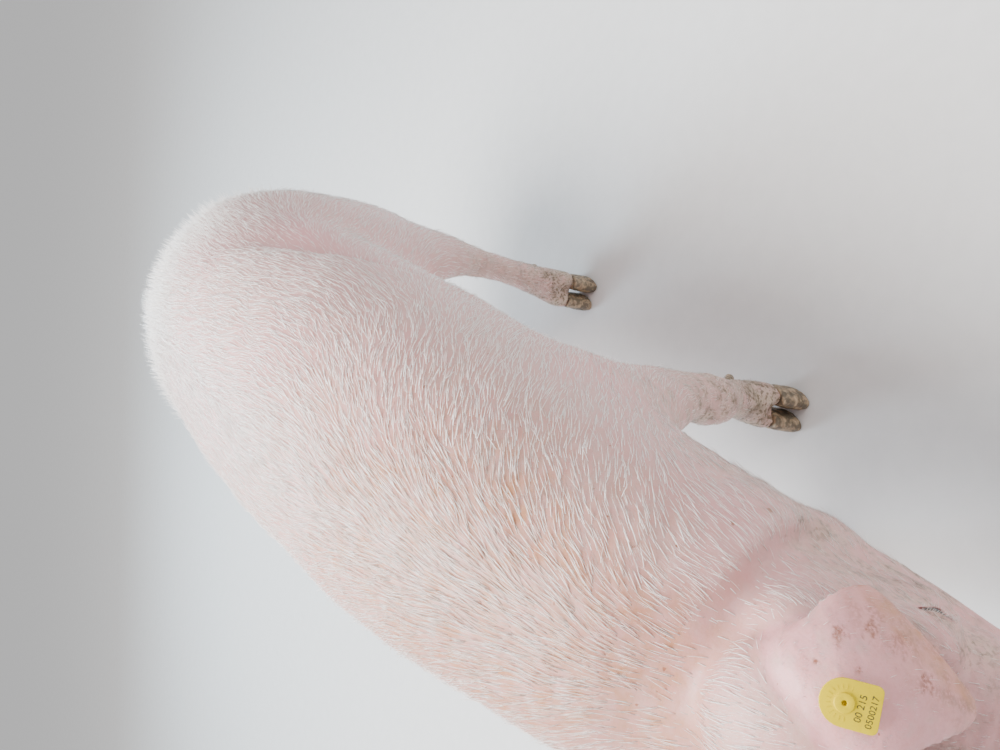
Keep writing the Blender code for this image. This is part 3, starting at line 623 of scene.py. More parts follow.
def spread_from(points, edges, start, chosen):
    """Distance over the chosen part of the surface from its start, and the way in which it grows."""
    own = edges[chosen[edges].all(1)]
    a, b = own.T
    span = np.linalg.norm(points[a] - points[b], axis=1)
    far = np.where(start & chosen, 0.0, 1.0)
    for _ in range(160):
        np.minimum.at(far, a, far[b] + span)
        np.minimum.at(far, b, far[a] + span)
    slope = ((far[b] - far[a]) / np.maximum(span, 1e-6) ** 2)[:, None] * (points[b] - points[a])
    way = np.zeros_like(points)
    np.add.at(way, a, slope)
    np.add.at(way, b, slope)
    return far, unit(way)


def on_tail(points):
    """Which points of the skin are the tail's."""
    behind = points[:, 1] > TAIL_ROOT[1] - 0.03
    low = points[:, 2] < TAIL_ROOT[2] + 0.04
    return behind & low & (near("tail", points, behind, 0.006) > 0.5)


def lie_of_coat(points, normals, edges, ears, tail):
    """Unit vectors along which the bristles lie, from root to tip, and the distance down the tail."""
    x, y, z = points.T
    out, ahead, up = in_head(points)
    side = smoothstep(np.abs(x), 0.02, 0.15)
    hips = smoothstep(y, -0.15, 0.10) * smoothstep(z, 0.52, 0.64)
    slope = np.radians((10 + 32 * side) * (1 - hips) - 14 * hips)
    down = np.stack([x * 7.0, np.zeros(len(x)), -np.ones(len(x))], 1)
    down = unit(down - normals * (down * normals).sum(1, keepdims=True))
    back = np.array((0.0, 1.0, 0.0))
    trunk = back * np.cos(slope)[:, None] + down * np.sin(slope)[:, None]
    low = smoothstep(-z, -0.40, -0.30)[:, None]
    belly = smoothstep(-normals[:, 2], 0.35, 0.75)[:, None] * smoothstep(z, 0.26, 0.30)[:, None]
    body = trunk * (1 - low) + np.array((0.0, 0.22, -1.0)) * low
    body = body * (1 - belly) + back * belly
    rear = smoothstep(normals[:, 1], 0.30, 0.75)[:, None] * smoothstep(y, 0.30, 0.45)[:, None]
    body = body * (1 - rear) + np.stack([x * 1.5, np.full(len(x), 0.1), -np.ones(len(x))], 1) * rear
    backwards = np.stack([out * 2.0, np.ones(len(x)), -0.35 * smoothstep(np.abs(out), 0.03, 0.07)], 1)
    face = backwards @ HEAD_TURN.T
    on_head = smoothstep(ahead, -0.10, 0.0)[:, None]
    lie = body * (1 - on_head) + face * on_head
    ear_way = HEAD_TURN @ np.array((0.0, -0.9, -0.45))
    lie = lie * (1 - ears[:, None]) + ear_way * ears[:, None]
    for _ in range(3):
        lie = unit(lie - normals * (lie * normals).sum(1, keepdims=True))
        lie = relax(lie, edges, np.full(len(lie), 0.6), 6)
    start = tail & (y < TAIL_ROOT[1] + 0.012)
    far, down_tail = spread_from(points, edges, start, tail)
    lie = np.where(tail[:, None], down_tail, lie)
    return unit(lie - normals * (lie * normals).sum(1, keepdims=True)), np.where(tail, far, 0.0)


SHORT_HAIRS, LONG_HAIRS = 62000, 42500  # to a square metre, where each kind is densest


def hair_plan(points, normals, ears, tail, down_tail):
    """Short hairs to a square metre, long hairs to a square metre, hair length and lift at each point."""
    x, y, z = points.T
    out, ahead, up = in_head(points)
    hips = smoothstep(y, TAIL_ROOT[1] - 0.26, TAIL_ROOT[1] - 0.04) * smoothstep(z, 0.46, 0.62)
    rump = np.linalg.norm((points - (0.0, TAIL_ROOT[1], TAIL_ROOT[2])) / (0.12, 0.07, 0.12), axis=1)
    ridge = bell(x, 0.055) * smoothstep(z, 0.50, 0.62) * smoothstep(-ahead, 0.02, 0.10)
    head = smoothstep(ahead, -0.06, 0.06)
    muzzle = smoothstep(ahead, 0.10, 0.20)
    leg = smoothstep(-z, -0.40, -0.22) * (1 - head)
    foot = smoothstep(-z, -0.14, -0.06)
    under = smoothstep(-normals[:, 2], 0.2, 0.7) * (1 - leg)
    hollow = hollow_share(points)
    end = smoothstep(y, 0.27, 0.42) * smoothstep(z, 0.50, 0.62)
    length = 0.021 + 0.006 * ridge + 0.004 * hips - 0.007 * hollow
    length *= (1 - 0.42 * head) * (1 - 0.50 * muzzle) * (1 - 0.35 * leg)
    length *= (1 - 0.25 * foot) * (1 - 0.25 * under)
    nape = smoothstep(ahead, -0.24, -0.06) * (1 - head)
    length *= (1 - 0.45 * ears) * (1 - 0.20 * nape)
    length = np.where(tail, 0.012 + 0.22 * np.clip(down_tail - 0.10, 0.0, 0.10), length)
    bare = smoothstep(ahead, 0.262, 0.276)
    lips, _ = path_distance(points, lip_line())
    bare = np.maximum(bare, np.where(ahead > 0.08, 1 - smoothstep(lips, 0.003, 0.008), 0.0))
    for middle in EYES.values():
        bare = np.maximum(bare, 1 - smoothstep(np.linalg.norm(points - middle, axis=1), 0.0145, 0.0200))
    bare = np.maximum(bare, 1 - smoothstep(z, 0.040, 0.052))
    bare = np.maximum(bare, bell(np.linalg.norm(points - VENT, axis=1), 0.012))
    white = 0.30 * hips + 0.25 * bell(x, 0.10) * smoothstep(z, 0.60, 0.70)
    short = SHORT_HAIRS * (1 + white + 1.3 * head + 0.6 * leg + 0.5 * nape) * (1 - 0.50 * under)
    short *= (1 - 0.45 * hollow) * (1 + 0.9 * ears) * (1 - bare)
    long = 0.80 + 1.2 * white - 0.30 * leg - 0.30 * head - 0.15 * nape
    long = LONG_HAIRS * long * (1 - 0.85 * ears) * (1 - 0.5 * muzzle) * (1 - bare) * (1 - 0.8 * hollow)
    long *= 1 - 0.7 * under
    long = np.where(tail, 40000 * smoothstep(down_tail, 0.10, 0.16), long)
    sides = smoothstep(np.abs(x), 0.13, 0.17)
    lift = 6 + 6 * hips + 22 * end * (1 - 0.85 * sides) + 3 * ridge + 4 * head + 4 * leg
    lift += 14 * bell(rump, 1.3) * (1 - sides)
    return short, long, length, np.radians(lift)


# Rusty scabs on the left ear: ahead of the poll, out from the middle line, size
SCABS = (
    (0.074, 0.074, 0.0055),
    (0.054, 0.070, 0.0060),
    (0.093, 0.066, 0.0100),
    (0.042, 0.052, 0.0020),
    (0.066, 0.051, 0.0025),
    (0.108, 0.045, 0.0050),
)
# A point on the ears' front margins, as ahead and out, and the direction out of the ear across them
EAR_MARGIN = ((0.073, 0.093), 0.667, 0.744)
# Small brown spots on the left side, and their sizes
SPOTS = ((0.131, -0.342, 0.470, 0.0035), (0.124, -0.427, 0.537, 0.0030), (0.125, 0.377, 0.331, 0.0040))


def markings(points, normals, ears):
    """Shares of blush, tan stain, mud and scab at each point: the same for skin and coat."""
    x, y, z = points.T
    out, ahead, up = in_head(points)
    blush = 0.20 + 0.10 * smoothstep(-z, -0.62, -0.36)
    blush -= 0.10 * smoothstep(y, TAIL_ROOT[1] - 0.25, TAIL_ROOT[1])
    blush += 0.12 * ripple(points, 0.15, 21) + 0.05 * ripple(points, 0.04, 22)
    patch = (points - (0.0, 0.325, 0.592)) / (1.0, 0.070, 0.045)
    blush += 0.25 * hollow_share(points) + 0.45 * bell(np.hypot(patch[:, 1], patch[:, 2]), 1.0)
    blush -= 0.40 * smoothstep(-z, -0.34, -0.20)
    blush += 0.66 * ears + 0.25 * smoothstep(ahead, 0.05, 0.25)
    blush += 0.35 * bell(ahead + 0.005, 0.045) * bell(up - 0.06, 0.05) * (1 - ears)
    blush += 0.30 * smoothstep(ahead, 0.266, 0.280)
    tan = bell(y + 0.32, 0.20) * bell(np.abs(x) - 0.02, 0.085) * smoothstep(z, 0.50, 0.60) * (1 - ears)
    tan *= 1.30 + 0.28 * ripple(points, 0.09, 23)
    tan += 0.25 * bell(y + 0.15, 0.30) * smoothstep(z, 0.50, 0.65)
    mud = smoothstep(-z, -0.17, -0.03) * (0.72 + 0.34 * ripple(points, 0.03, 24))
    mud += smoothstep(-z, -0.36, -0.22) * np.clip(0.24 + 0.18 * ripple(points, 0.04, 34), 0.0, 0.55)
    jowl = smoothstep(-z, -0.56, -0.42) * smoothstep(ahead, -0.16, -0.06)
    jowl *= 1 - smoothstep(ahead, 0.12, 0.20)
    mud += jowl * np.clip(0.30 + 0.26 * ripple(points, 0.022, 25), 0.0, 0.7)
    tear = bell(ahead - 0.150, 0.016) * bell(np.abs(out) - 0.052, 0.012) * smoothstep(up, -0.01, 0.03)
    mud += tear * (0.55 + 0.25 * ripple(points, 0.010, 33))
    mud += 0.20 * smoothstep(ahead, 0.25, 0.29) * (0.5 + 0.5 * ripple(points, 0.012, 26))
    margin = EAR_MARGIN[1] * (ahead - EAR_MARGIN[0][0]) + EAR_MARGIN[2] * (np.abs(out) - EAR_MARGIN[0][1])
    front = ears * smoothstep(margin, -0.030, -0.006)
    blush += ears * (0.26 * ripple(points, 0.018, 29) + 0.14 * ripple(points, 0.007, 32)) + 0.25 * front
    tan += ears * smoothstep(margin, -0.009, -0.002) + 0.30 * front
    scab = 0.46 * front * smoothstep(ripple(points, 0.012, 30), -0.6, 1.1)
    for ahead_at, out_at, size in SCABS:
        gap = np.hypot(ahead - ahead_at, out - out_at) + 0.5 * size * ripple(points, 0.005, 27)
        spot = ears * (1 - smoothstep(gap, 0.1 * size, 1.2 * size))
        scab = np.maximum(scab, spot * min(1.0, 0.0055 / size))
    for *place, size in SPOTS:
        gap = np.linalg.norm(points - place, axis=1) + 0.3 * size * ripple(points, 0.004, 28)
        scab = np.maximum(scab, 1 - smoothstep(gap, 0.6 * size, size))
    return np.clip(np.stack([blush, tan, mud, scab], 1), 0.0, 1.0)


def write_marks(mesh, marks):
    layer = mesh.attributes.new("marks", "FLOAT_COLOR", "POINT")
    layer.data.foreach_set("color", marks.astype(np.float32).ravel())


# Unwrap of the skin's own shape, for the coat's bake map


def turn_share(side, rise):
    """Share of a turn about an axis, cut open along its underside."""
    return 0.5 + np.arctan2(side, rise) / TURN


def unwrapped(points, ears):
    """Each point's place on a flat map of the skin: the trunk, head, ears and legs each rolled out."""
    x, y, z = points.T
    out, ahead, up = in_head(points)
    low, high = (np.array(corner) for corner in CAD_BOX)
    u = 0.01 + 0.60 * turn_share(x, z - 0.50)
    v = 0.01 + 0.98 * (y - low[1]) / (high[1] - low[1])
    on_head = (ahead > -0.06) & (ears < 0.5)
    u = np.where(on_head, 0.63 + 0.36 * turn_share(out, up + 0.02), u)
    v = np.where(on_head, 0.01 + 0.33 * np.clip((ahead + 0.06) / 0.37, 0, 1), v)
    on_ear = ears >= 0.5
    u = np.where(on_ear, 0.81 + out * 1.2, u)
    v = np.where(on_ear, 0.38 + 0.20 * np.clip((ahead + 0.02) / 0.18, 0, 1), v)
    for i, name in enumerate(FEET):
        claw = box_middle(f"claw_{name}_left")
        way = 1 if name.endswith("left") else -1
        middle_x, middle_y = claw[0] - 0.017, claw[1]
        on_leg = (z < 0.36) & (np.sign(x) == way) & (np.abs(y - middle_y) < 0.22) & (ahead < -0.06)
        u = np.where(on_leg, 0.63 + 0.09 * i + 0.08 * turn_share(x - middle_x, y - middle_y), u)
        v = np.where(on_leg, 0.62 + 0.36 * z / 0.36, v)
    return np.stack([u, v], 1)


# The coat


HAIR_WIDTH = 0.00028  # half a short hair's width at its root
LONG_HAIR_WIDTH = 0.00034
STRAIGHT = ((-0.02, 1.0),)  # rings of a hair before its tip, as shares of its length and width
BENT = ((-0.02, 1.0), (0.30, 0.88), (0.65, 0.60))
PIECE_TRIANGLES = 195000
PATCH = 0.0030  # each hair's patch on the bake map


def scatter(mesh, density, draw):
    """Seeded points on the mesh, as corner indices and shares of each corner."""
    mesh.calc_loop_triangles()
    corners = read_rows(mesh.loop_triangles, "vertices", 3, np.int32)
    points = read_points(mesh)
    a, b, c = (points[corners[:, k]] for k in range(3))
    area = np.linalg.norm(np.cross(b - a, c - a), axis=1) / 2
    share = np.cumsum(area * density[corners].mean(1))
    count = int(share[-1])
    picks = np.searchsorted(share, (np.arange(count) + draw.uniform(size=count)) / count * share[-1])
    picks = corners[np.minimum(picks, len(corners) - 1)]
    r, t = np.sqrt(draw.uniform(size=count)), draw.uniform(size=count)
    return picks, np.stack([1 - r, r * (1 - t), r * t], 1)


def blend_at(values, picks, shares):
    if values.ndim == 1:
        return (values[picks] * shares).sum(1)
    return (values[picks] * shares[..., None]).sum(1)


def hair_points(stages, roots, along, normals, length, lift, width):
    """Rings of three points up each hair, and its tip."""
    across = np.cross(along, normals)
    steep, flat = np.sin(lift)[:, None], np.cos(lift)[:, None]
    droop = np.minimum(0.62 * steep, 0.20) + 0.03
    rings = []
    for t, thick in (*stages, (1.0, 0.0)):
        rise = steep * t - droop * t * abs(t)
        centre = roots + length[:, None] * (along * flat * t + normals * rise)
        if thick == 0.0:
            rings.append(centre[:, None])
            continue
        ring = []
        for k in range(3):
            angle = TURN * k / 3 + 0.5
            offset = across * math.cos(angle) + normals * math.sin(angle)
            ring.append(centre + offset * (width * thick)[:, None])
        rings.append(np.stack(ring, 1))
    return np.concatenate(rings, 1)


def hair_faces(rings, count):
    """Triangles of closed three-sided hairs that end in a point."""
    one = [(0, 2, 1)]
    tip = 3 * rings
    for ring in range(rings):
        for k in range(3):
            n = (k + 1) % 3
            low, next_low = 3 * ring + k, 3 * ring + n
            if ring == rings - 1:
                one.append((low, next_low, tip))
            else:
                one += [(low, next_low, next_low + 3), (low, next_low + 3, low + 3)]
    return (np.array(one)[None] + (tip + 1) * np.arange(count)[:, None, None]).reshape(-1, 3)


def hair_piece(name, stages, points, patches, marks, tones, material):
    """One joined mesh of hairs with its bake map, markings and tones."""
    count, each = points.shape[:2]
    faces = hair_faces(len(stages), count)
    mesh = mesh_from(name, points.reshape(-1, 3), faces)
    spot = [(x, t) for t, _ in stages for x in (0.0, 1.0, 0.5)] + [(0.5, 1.0)]
    uv = patches[:, None, :] + (np.clip(np.array(spot), 0.0, 1.0) - 0.5)[None] * PATCH
    layer = mesh.uv_layers.new(name="OFBake")
    layer.data.foreach_set("uv", uv.reshape(-1, 2)[faces.ravel()].astype(np.float32).ravel())
    write_marks(mesh, np.repeat(marks, each, axis=0))
    shade = mesh.attributes.new("tone", "FLOAT", "POINT")
    shade.data.foreach_set("value", np.repeat(tones, each).astype(np.float32))
    mesh.materials.append(material)
    piece = new_object(name, mesh)
    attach(piece, "root")


def grow(kind, mesh, field, density, length, lift, stages, width, seed, material):
    """Scatters hairs over the mesh in pieces, each small enough to keep."""
    draw = np.random.default_rng(seed)
    points, normals, lie, ears, marks = field
    picks, shares = scatter(mesh, density, draw)
    root = blend_at(points, picks, shares)
    up = unit(blend_at(normals, picks, shares))
    along = unit(blend_at(lie, picks, shares))
    count = len(root)
    patches = unwrapped(root, blend_at(ears, picks, shares))
    marks = blend_at(marks, picks, shares)
    loose = 0.8 if stages is STRAIGHT else np.where(draw.uniform(size=count) < 0.3, 2.0, 0.9)
    swing = np.radians(7) * ripple(root, 0.040, 31) + np.radians(5.0 * loose) * draw.normal(size=count)
    side = np.cross(up, along)
    along = unit(along * np.cos(swing)[:, None] + side * np.sin(swing)[:, None])
    reach = blend_at(length, picks, shares) * draw.uniform(0.70, 1.15, count)
    rise = blend_at(lift, picks, shares) * loose * np.clip(1 + 0.40 * draw.normal(size=count), 0.2, 2.2)
    thick = width * draw.uniform(0.65, 1.20, count) * np.clip(reach / 0.018, 0.48, 1.1)
    root = root - up * 0.0003
    hairs = hair_points(stages, root, along, up, reach, np.minimum(rise, 1.1), thick)
    tones = draw.uniform(size=count) * (1.0 if stages is STRAIGHT else 0.6)
    each = PIECE_TRIANGLES // (6 * len(stages) - 2)
    order = np.argsort(patches[:, 0] // 0.62 * 10 + root[:, 1], kind="stable")
    pieces = int(math.ceil(count / each))
    for number, own in enumerate(np.array_split(order, pieces), 1):
        name = f"{kind}_{number}" if pieces > 1 else kind
        hair_piece(name, stages, hairs[own], patches[own], marks[own], tones[own], material)


LASHES = {1: (34, 0.007, 0.011), -1: (14, 0.004, 0.006)}  # on the upper and lower lid: number, lengths
LASH_LIFT, LASH_WIDTH, LASH_SEED = 0.7, 0.00016, 51


def add_lashes(material):
    """Pale lashes along each upper lid and a few below."""
    draw = np.random.default_rng(LASH_SEED)
    roots, along, normals, lengths = [], [], [], []
    for way, middle in EYES.items():
        gaze, run, across = eye_axes(way)
        for upper, (number, shortest, longest) in LASHES.items():
            tall = LID_RISE if upper > 0 else LID_FALL
            for turn in np.linspace(0.12, 0.88, number):
                angle = math.pi * (turn + draw.normal() * 0.008)
                place = run * LID_HALF * math.cos(angle) * 1.02
                place = place + across * upper * tall * math.sin(angle) * 1.08
                depth = math.sqrt((EYE_RADIUS + 0.0010) ** 2 - place @ place)
                spread = run * math.cos(angle) * 0.5 + draw.normal(size=3) * 0.08
                roots.append(middle + place + gaze * depth)
                along.append(unit(gaze * 0.85 + across * upper * 0.25 + spread))
                normals.append(unit(across * upper + gaze * 0.2))
                lengths.append(draw.uniform(shortest, longest))
    roots, along, normals = np.array(roots), np.array(along), np.array(normals)
    normals = unit(normals - along * (normals * along).sum(1, keepdims=True))
    count = len(roots)
    lift, width = np.full(count, LASH_LIFT), np.full(count, LASH_WIDTH)
    hairs = hair_points(BENT, roots, along, normals, np.array(lengths), lift, width)
    patches, marks = unwrapped(roots, np.zeros(count)), np.zeros((count, 4))
    hair_piece("lashes", BENT, hairs, patches, marks, draw.uniform(size=count), material)


# Eyes, hooves and ear tag


def add_eye(way, material):
    """An eyeball with a raised cornea; each point keeps its angle from the gaze."""
    name = "eye_left" if way > 0 else "eye_right"
    gaze, run, across = eye_axes(way)
    angles = np.concatenate([np.linspace(0.0, 1.0, 22)[1:] * 1.1, np.linspace(1.1, math.pi, 12)[1:-1]])
    sides = 40
    points, shares = [EYES[way] + gaze * EYE_RADIUS * 1.05], [0.0]
    for angle in angles:
        radius = EYE_RADIUS * (1.0 + 0.05 * math.exp(-((angle / 0.60) ** 4)))
        for k in range(sides):
            around = TURN * k / sides
            flat = run * math.cos(around) + across * math.sin(around)
            points.append(EYES[way] + radius * (gaze * math.cos(angle) + flat * math.sin(angle)))
            shares.append(angle)
    points.append(EYES[way] - gaze * EYE_RADIUS)
    shares.append(math.pi)
    faces = ring_faces(len(angles), sides)
    last = 1 + (len(angles) - 1) * sides
    faces += [(last + k, len(points) - 1, last + (k + 1) % sides) for k in range(sides)]
    faces = np.array(faces)
    mesh = mesh_from(f"eyeball_{name[4:]}", np.array(points), faces if way > 0 else faces[:, ::-1])
    layer = mesh.attributes.new("gaze", "FLOAT", "POINT")
    layer.data.foreach_set("value", np.array(shares, np.float32))
    finish_piece(mesh, material, "eye", name)


def finish_piece(mesh, material, slot, *replaced, smooth=True):
    """Makes the mesh a piece of the scene that stands for nodes."""
    mesh.materials.clear()
    mesh.materials.append(material)
    if smooth:
        mesh.shade_smooth()
    else:
        mesh.shade_flat()
    piece = new_object(mesh.name, mesh)
    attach(piece, "root")
    if replaced:
        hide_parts(*replaced)


def node_copy(node):
    """A node's mesh as a new object, with its doubled points merged."""
    mass = bmesh.new()
    mass.from_mesh(NODES[node].data)
    bmesh.ops.remove_doubles(mass, verts=mass.verts, dist=WELD)
    bmesh.ops.dissolve_limit(mass, angle_limit=math.radians(1.0), verts=mass.verts, edges=mass.edges)
    return new_object(node + "_form", mesh_of(mass, node))


HOOF_VOXEL = 0.0015
HOOF_EDGE, TAG_EDGE, BUTTON_EDGE = 0.0012, 0.0004, 0.0008  # widths of the rounded edges
HOOF_RING, HOOF_STEP, HOOF_PUCKER, HOOF_CHIP = 0.00022, 0.0055, 0.00030, 0.0008


def add_hoof(node, material):
    """A claw with growth rings, a rounded edge and small chips."""
    form = node_copy(node)
    if not node.startswith("dew"):
        bevel(form, HOOF_EDGE, 2, 40)
    voxels(form, HOOF_VOXEL)
    mesh = evaluated(form)
    mesh.name = "hoof_" + node
    points, edges = read_points(mesh), read_edges(mesh)
    points = relax(points, edges, np.full(len(points), PULL), 5)
    write_points(mesh, points)
    normals = read_normals(mesh)
    y, z = points[:, 1], points[:, 2]
    wall = smoothstep(z, 0.001, 0.004)
    level = z + 0.25 * (y - y.mean()) + 0.0012 * ripple(points, 0.03, 61)
    relief = HOOF_RING * wall * np.sin(level * (TURN / HOOF_STEP))
    relief += HOOF_PUCKER * ripple(points, 0.008, 62)
    relief -= HOOF_CHIP * wall * smoothstep(ripple(points, 0.006, 63), 1.1, 1.6)
    points = points + normals * relief[:, None]
    if not node.startswith("dew"):
        points[:, 2] = np.maximum(points[:, 2], 0.0)
    write_points(mesh, points)
    finish_piece(mesh, material, "horn", node)


def add_bevelled(node, name, width, material):
    """A part of the ear tag with its sharp edges rounded."""
    form = node_copy(node)
    bevel(form, width, 3, 35)
    mesh = evaluated(form)
    mesh.name = name
    finish_piece(mesh, material, "tag_plastic", node)
    mesh.set_sharp_from_angle(angle=math.radians(40))


def tag_axes():
    """The tag's pin, its outward direction, the way from the pin to its square end, and its level."""
    mesh = NODES["ear_tag"].data
    biggest = max(mesh.polygons, key=lambda face: face.area)
    out = np.array(biggest.normal)
    out = out if out[2] > 0 else -out
    points = read_points(mesh)
    height = points @ out
    top = points[height > height.max() - 0.0004]
    pin = top.mean(0)
    down = points[height > height.max() - 0.0036].mean(0) - pin
    reach = (points - pin) @ unit(down - out * (down @ out))
    middle = points[reach > reach.max() - 0.0012].mean(0) - pin
    flat = unit(middle - out * (middle @ out))
    level = height[np.argsort(height)[-len(top) - 1]]
    return pin, out, flat, level


# Plain figures on the tag: text, distance from the pin, height
NUMBER_ROWS = (("00 215", 0.0098, 0.0060), ("0500217", 0.0166, 0.0056))
FIGURE_THICK, FIGURE_LIFT = 0.00006, 0.00004
TICKS, TICK_RING, TICK_TURN = 13, 0.0094, math.radians(104)  # raised marks about the pin on the round end
TICK_HALF = (0.00030, 0.0013, 0.00016)  # half a mark's width, length and height


def add_ticks(material):
    """Plain raised marks round the tag's round end."""
    pin, out, flat, level = tag_axes()
    across = np.cross(flat, out)
    mass = bmesh.new()
    for turn in np.linspace(-TICK_TURN, TICK_TURN, TICKS):
        radial = -flat * math.cos(turn) + across * math.sin(turn)
        sideways = np.cross(out, radial)
        place = pin + out * (level - pin @ out) + radial * TICK_RING
        box = bmesh.ops.create_cube(mass, size=2.0)
        for vert in box["verts"]:
            wide, tall, high = (half * vert.co[k] for k, half in enumerate(TICK_HALF))
            vert.co = place + sideways * wide + radial * tall + out * high
    bmesh.ops.recalc_face_normals(mass, faces=mass.faces)
    finish_piece(mesh_of(mass, "tag_marks"), material, "tag_plastic", smooth=False)


def add_number(material):
    """Two rows of plain figures printed on the plate."""
    pin, out, flat, level = tag_axes()
    across = np.cross(flat, out)
    for number, (figures, below, tall) in enumerate(NUMBER_ROWS, 1):
        text = bpy.data.curves.new("figures", "FONT")
        text.body = figures
        text.align_x = "CENTER"
        text.align_y = "CENTER"
        text.size = tall
        text.extrude = FIGURE_THICK
        mesh = evaluated(new_object("figures", text))
        mesh.name = f"tag_number_{number}"
        local = read_points(mesh)
        place = pin + out * (level - pin @ out) + flat * below
        points = place + local[:, :1] * -across + local[:, 1:2] * -flat + (local[:, 2:] + FIGURE_LIFT) * out
        write_points(mesh, points)
        finish_piece(mesh, material, "tag_plastic", smooth=False)


# Materials


def new_material(name):
    """A new material, its nodes and its shader."""
    material = bpy.data.materials.new(name)
    material.use_nodes = True
    tree = material.node_tree
    return material, tree, tree.nodes["Principled BSDF"]


def add_node(tree, kind, **settings):
    node = tree.nodes.new(kind)
    for key, value in settings.items():
        if key in node.inputs:
            node.inputs[key].default_value = value
        else:
            setattr(node, key, value)
    return node


def fill(tree, socket, value):
    """Gives a socket a value, or links it to another socket."""
    if isinstance(value, bpy.types.NodeSocket):
        tree.links.new(value, socket)
    else:
        socket.default_value = value


def mixed(tree, share, first, second):
    mix = add_node(tree, "ShaderNodeMix", data_type="RGBA")
    for index, value in ((0, share), (6, first), (7, second)):
        fill(tree, mix.inputs[index], value)
    return mix.outputs[2]


def computed(tree, operation, first, second):
    node = add_node(tree, "ShaderNodeMath", operation=operation)
    fill(tree, node.inputs[0], first)
    fill(tree, node.inputs[1], second)
    return node.outputs[0]


def ranged(tree, value, low, high, top=1.0):
    """0 where the value is low, rising to the top where it is high."""
    node = add_node(tree, "ShaderNodeMapRange")
    for name, number in (("From Min", low), ("From Max", high), ("To Max", top)):
        node.inputs[name].default_value = number
    tree.links.new(value, node.inputs["Value"])
    return node.outputs["Result"]


def noise(tree, place, scale, detail=3.0, roughness=0.55):
    node = add_node(tree, "ShaderNodeTexNoise", Scale=scale, Detail=detail, Roughness=roughness)
    tree.links.new(place, node.inputs["Vector"])
    return node.outputs["Fac"]


def add_bump(tree, shader, height, strength, distance):
    bump = add_node(tree, "ShaderNodeBump", Strength=strength, Distance=distance)
    tree.links.new(height, bump.inputs["Height"])
    tree.links.new(bump.outputs["Normal"], shader.inputs["Normal"])


def own_place(tree):
    return tree.nodes.new("ShaderNodeTexCoord").outputs["Object"]


def own_value(tree, name):
    return add_node(tree, "ShaderNodeAttribute", attribute_name=name).outputs["Fac"]


def marks_of(tree):
    """Shares of blush, tan stain, mud and scab as sockets."""
    marks = add_node(tree, "ShaderNodeAttribute", attribute_name="marks")
    parts = tree.nodes.new("ShaderNodeSeparateColor")
    tree.links.new(marks.outputs["Color"], parts.inputs["Color"])
    return (*parts.outputs, marks.outputs["Alpha"])


SKIN_UNDER_COAT_WITH_SHADE = (0.57, 0.38, 0.345, 1.0)  # skin under the coat, its colour darkened as painted shade between the bristles
PINK = (0.71, 0.34, 0.35, 1.0)  # bare skin
STAIN = (0.45, 0.185, 0.06, 1.0)
MUD = (0.140, 0.097, 0.056, 1.0)
DRIED_MUD = (0.50, 0.405, 0.30, 1.0)
SCAB = (0.27, 0.09, 0.05, 1.0)
HAIR_LIGHT = (0.98, 0.97, 0.95, 1.0)
HAIR_DARK = (0.90, 0.84, 0.79, 1.0)
PORE, FLUSH, SPECK = (0.60, 0.25, 0.21, 1.0), (0.64, 0.27, 0.25, 1.0), (0.30, 0.10, 0.045, 1.0)
HORN_LIGHT, HORN_DARK = (0.47, 0.34, 0.21, 1.0), (0.20, 0.13, 0.08, 1.0)
HORN_GRIME = (0.085, 0.068, 0.045, 1.0)
TAG_YELLOW, TAG_GRIME = (0.66, 0.49, 0.0, 1.0), (0.42, 0.27, 0.0, 1.0)
INK, WORN_INK = (0.03, 0.028, 0.02, 1.0), (0.50, 0.38, 0.03, 1.0)
FLOOR_DARK, FLOOR_LIGHT = (0.66, 0.65, 0.64, 1.0), (0.69, 0.68, 0.67, 1.0)
WORLD_COLOUR, WORLD_STRENGTH = (0.97, 0.98, 1.0, 1.0), 0.84


def muddied(tree, colour, mud, place):
    """A pale film of dried mud over a colour, with dark speckles and smears."""
    film = computed(tree, "MULTIPLY", mud, ranged(tree, noise(tree, place, 30.0, 3.0), 0.25, 0.65, 0.85))
    colour = mixed(tree, film, colour, DRIED_MUD)
    fine = ranged(tree, noise(tree, place, 230.0, 4.0), 0.50, 0.60, 0.8)
    broad = ranged(tree, noise(tree, place, 45.0, 3.0), 0.46, 0.72, 0.85)
    share = computed(tree, "MULTIPLY", mud, computed(tree, "ADD", fine, broad))
    return mixed(tree, computed(tree, "MINIMUM", share, 0.92), colour, MUD)


def stained(tree, colour, tan, blotches, share):
    """The colour under blotches of tan stain."""
    amount = computed(tree, "MULTIPLY", computed(tree, "MULTIPLY", tan, blotches), share)
    return mixed(tree, amount, colour, STAIN)


